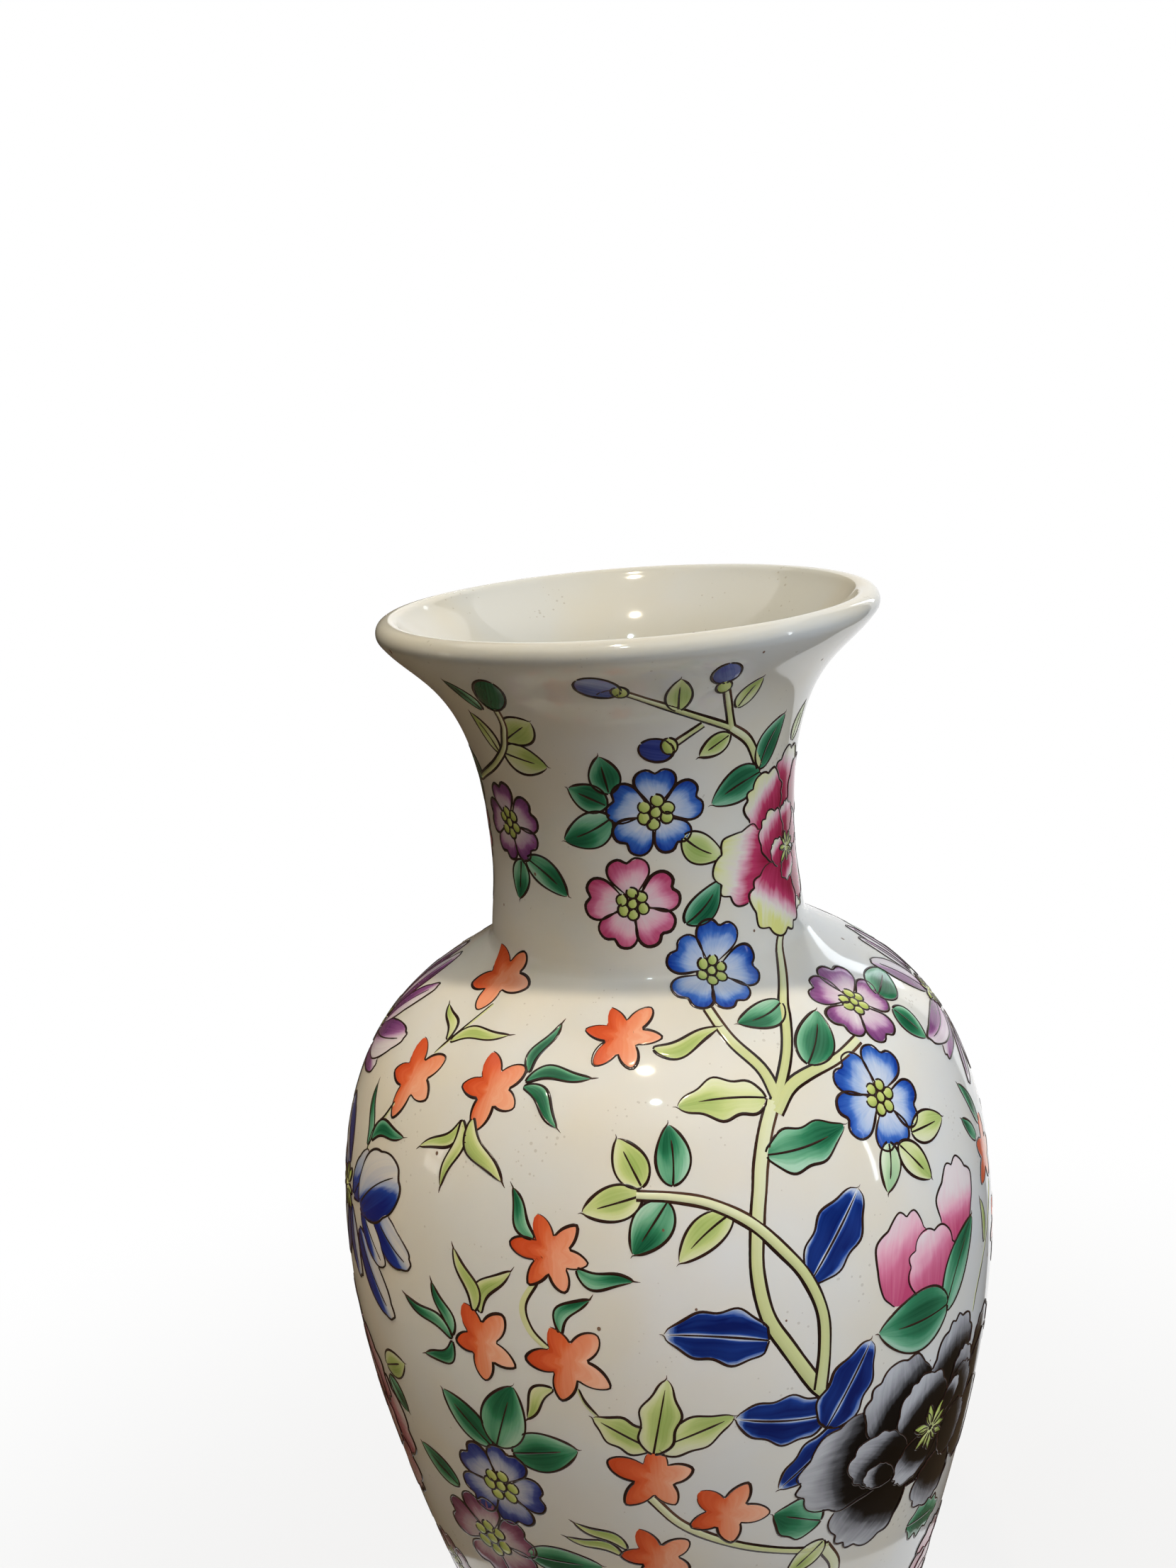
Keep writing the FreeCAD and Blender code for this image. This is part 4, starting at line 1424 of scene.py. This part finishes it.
def enamel_piece(name):
    """One pot of enamel as a piece on the wall."""
    points, marks, faces = [np.vstack(pots[name][part]) for part in ("points", "marks", "faces")]
    mesh = bpy.data.meshes.new(name)
    mesh.from_pydata(points.tolist(), [], faces.tolist())
    for label, values in zip(("wash", "tone"), marks.T):
        mark_points(mesh, label, values)
    corner_point = np.zeros(len(mesh.loops), np.int32)
    mesh.loops.foreach_get("vertex_index", corner_point)
    chart = np.clip(marks, 0.002, 0.998)[corner_point].astype(np.float32)
    mesh.uv_layers.new(name="OFBake").data.foreach_set("uv", chart.ravel())
    finish = enamel(name.replace("_", " "), palette[name])
    return run_tree(bpy.data.objects.new(name, mesh), laying,
                    {"Outline": template_piece, "Waviness": waviness, "Finish": finish})


enamels = [enamel_piece(name) for name in pots]
print("enamel faces in all", sum(len(piece.data.polygons) for piece in enamels))

# %% [markdown]
# ## Iron specks
# Tiny brown specks show wherever a grain of iron in the clay burned through the glaze. They
# scatter without order, so a tree throws them on the wall with a fixed seed.

# %% The scattering tree
scattering = new_tree("Scatter iron specks", "GeometryNodeTree", (
    GEOMETRY, ("Speck size", NUMBER, 0.0007), ("Number per square metre", NUMBER, 330.0),
    ("Seed", "NodeSocketInt", 5), FINISH), (GEOMETRY,))
put = tools(scattering)[0]
given = put("NodeGroupInput").outputs
thrown = put("GeometryNodeDistributePointsOnFaces", _0=given[0], _Density=given[2], _Seed=given[3])
dot = put("GeometryNodeMeshUVSphere", _Segments=8, _Rings=5, _Radius=given[1])
flattened = put("GeometryNodeTransform", _Geometry=dot, _Scale=(1.0, 1.15, 0.16))
speck_sizes = put("FunctionNodeRandomValue", data_type="FLOAT", _2=0.35, _3=1.25, _Seed=given[3])
placed = put("GeometryNodeInstanceOnPoints", _Points=thrown, _Instance=flattened,
             _Rotation=thrown.outputs["Rotation"], _Scale=speck_sizes.outputs[1])
close_tree(scattering, placed, given[4])
iron = two_toned("iron speck", 0.3, (70, 38, 24), (140, 108, 84), 90.0)
specks = run_tree(bpy.data.objects.new("iron_specks", outer_coat.data.copy()), scattering, {
    "Speck size": 0.0007, "Number per square metre": 330.0, "Seed": 5, "Finish": iron})
bpy.data.objects.remove(template_piece)

# %% [markdown]
# ## The parts hidden under the glaze
# The thrown sections and the slip between them are kept as the solid model has them. They show
# only if the vase is taken apart, and then as matt biscuit and a slightly paler slip.

# %% Finishes for the solid model's own parts, and what each piece stands for
for name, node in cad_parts.items():
    for material_slot in node.material_slots:
        material_slot.material = slip if name.endswith("_slip") else biscuit
finer = ((outer_coat, "outer_glaze"), (inner_coat, "inner_glaze"), (foot, "foot_ring"),
         (recess, "recess_glaze"))
for piece, node in finer:
    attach(piece, "root")
    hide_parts(node)
for piece in (*enamels, specks):
    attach(piece, "root")
print("solids shown as they are", len(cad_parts) - len(finer), "finer ones", len(finer))

# %% [markdown]
# ## The studio
# A pale floor, a warm lamp high above and a little in front, and broad cool light from the right.
# The high lamp makes the flared mouth shade the neck. Small lamps and a window's panes are what
# the glaze mirrors, and the dim side of the room keeps the dark enamels deep, as a dark cloth
# behind the camera does. The white behind the vase is the world's own colour as the camera and
# the reflections see it, while the light that it casts stays low. The floor turns the same white
# away from the vase.

# %% Floor
def studio_piece(name, points, faces, finish):
    """A piece of the studio from its points and faces."""
    mesh = bpy.data.meshes.new(name)
    mesh.from_pydata(points, [], faces)
    mesh.materials.append(finish)
    piece = bpy.data.objects.new(name, mesh)
    bpy.context.scene.collection.objects.link(piece)
    return piece


def looked_at(tree):
    """1 where the camera or a mirror image sees the surface, 0 where only its light arrives."""
    rays = add(tree, "ShaderNodeLightPath").outputs
    seen = maths(tree, "MAXIMUM", rays["Is Camera Ray"], rays["Is Glossy Ray"])
    return maths(tree, "MAXIMUM", seen, rays["Is Transmission Ray"])


floor_finish = two_toned("pale floor", 0.7, (130, 122, 110), (140, 133, 121), 3.0)
floor_tree = floor_finish.node_tree
put, calc = tools(floor_tree)
from_vase = put("ShaderNodeVectorMath", operation="LENGTH", _0=object_place(floor_tree))
far = put("ShaderNodeMapRange", interpolation_type="SMOOTHSTEP", _0=from_vase.outputs["Value"],
          _1=0.15, _2=0.6, _3=0.86, _4=1.0)
glow = put("ShaderNodeEmission", _Color=(1, 1, 1, 1), _Strength=1.0)
surface = put("ShaderNodeMixShader", _0=calc("MULTIPLY", looked_at(floor_tree), far),
              _1=floor_tree.nodes["Principled BSDF"], _2=glow)
wire(floor_tree, surface, floor_tree.nodes["Material Output"].inputs[0])
floor_radius = 6.0
floor_turns = np.linspace(0, 2 * math.pi, 64, endpoint=False)
floor_rim = [(floor_radius * math.cos(a), floor_radius * math.sin(a), 0.0) for a in floor_turns]
floor = studio_piece("floor", floor_rim, [tuple(range(len(floor_rim)))], floor_finish)
print("floor", floor_radius, "metres to its rim")

# %% World
world = bpy.data.worlds.new("studio")
bpy.context.scene.world = world
world.use_nodes = True
world_tree = world.node_tree
world_tree.nodes.clear()
put = tools(world_tree)[0]
room = put("ShaderNodeBackground", _Color=(1.0, 0.95, 0.87, 1.0), _Strength=0.03)
white = put("ShaderNodeBackground", _Color=(1, 1, 1, 1), _Strength=1.0)
mixed = put("ShaderNodeMixShader", _0=looked_at(world_tree), _1=room, _2=white)
put("ShaderNodeOutputWorld", _0=mixed)
print("world", world.name, "has", len(world_tree.nodes), "nodes")


# %% Lamps
def soft_lamp(name, place, aim, size, power, tint, mirrored=True, spread=180.0):
    """A soft lamp that points at a place; mirrored says whether the glaze shows its shape, and
    spread is the angle that its light fans out to, as a grid on a lamp sets it."""
    lamp = bpy.data.objects.new(name, bpy.data.lights.new(name, "AREA"))
    lamp.data.shape = "ELLIPSE" if size[0] == size[1] else "RECTANGLE"
    lamp.data.size, lamp.data.size_y = size
    lamp.data.energy = power
    lamp.data.color = tint
    lamp.data.spread = math.radians(spread)
    lamp.visible_glossy = mirrored
    lamp.location = place
    lamp.rotation_mode = "QUATERNION"
    lamp.rotation_quaternion = (Vector(aim) - Vector(place)).to_track_quat("-Z", "Y")
    bpy.context.scene.collection.objects.link(lamp)


high, low = (0.0, 0.0, 0.3), (0.0, 0.0, 0.25)
round_head = (0.25, 0.25)
soft_lamp("high_lamp", (-0.08, -0.36, 1.8), high, (0.065, 0.065), 13.7, (1.0, 0.88, 0.69))
soft_lamp("front_lamp", (-0.04, -0.94, 1.9), high, (0.08, 0.08), 2.8, (0.7, 0.95, 1.0))
soft_lamp("right_window", (1.7, -0.8, 0.8), low, (1.0, 1.2), 18.0, (0.8, 0.88, 1.0), False)
soft_lamp("belly_lamp", (-0.3, -1.6, 0.6), (0.0, 0.0, 0.24), round_head, 0.09,
          (1.0, 0.82, 0.62), False, 16.0)
soft_lamp("right_belly_lamp", (0.7, -1.5, 0.6), (0.06, 0.0, 0.26), round_head, 0.075,
          (0.42, 0.62, 1.0), False, 16.0)
soft_lamp("left_shoulder_lamp", (-0.75, 0.0, 1.7), (-0.21, -0.02, 0.3), round_head, 0.14,
          (1.0, 0.92, 0.84), False, 15.0)
soft_lamp("right_shoulder_lamp", (0.85, -0.1, 1.6), (0.21, -0.02, 0.28), round_head, 0.07,
          (1.0, 0.88, 0.74), False, 15.0)
soft_lamp("back_lamp", (0.1, 1.6, 1.5), low, (1.0, 0.8), 19.0, (1.0, 0.98, 0.95), False)
soft_lamp("right_strip", (1.75, -0.55, 0.5), (0.0, 0.0, 0.28), (0.05, 0.6), 1.1, (0.9, 0.95, 1.0))
soft_lamp("right_rim", (0.98, 1.34, 0.9), (0.0, 0.0, 0.28), (0.12, 0.7), 0.9, (0.86, 0.93, 1.0))
for pane, (along, over) in enumerate(((-1, -1), (1, -1), (-1, 1), (1, 1))):
    pane_place = (-1.85, -0.1 + 0.06 * along, 0.5 + 0.085 * over)
    soft_lamp(f"left_pane_{pane}", pane_place, high, (0.09, 0.13), 0.12, (1.0, 0.97, 0.93))

# %% The dim side of the room, which only reflections see
wall_turns = np.radians(np.linspace(-172.0, 137.0, 49))
wall_section = ((0.17, 0.004), (2.6, 0.004), (2.6, 3.0))
wall_points = [(r * math.sin(t), -r * math.cos(t), z) for t in wall_turns for r, z in wall_section]
wall_faces = [(i, i + 1, i + 4, i + 3)
              for k in range(len(wall_turns) - 1) for i in (3 * k, 3 * k + 1)]
dim_room = studio_piece("dim_room", wall_points, wall_faces,
                        two_toned("dim room", 0.9, (40, 30, 20), (112, 92, 68), 1.6, 3.0))
dim_room.visible_camera = False
dim_room.visible_diffuse = False
dim_room.visible_shadow = False
print("dim room", len(wall_faces), "panels")
bpy.context.scene.view_settings.view_transform = "Standard"
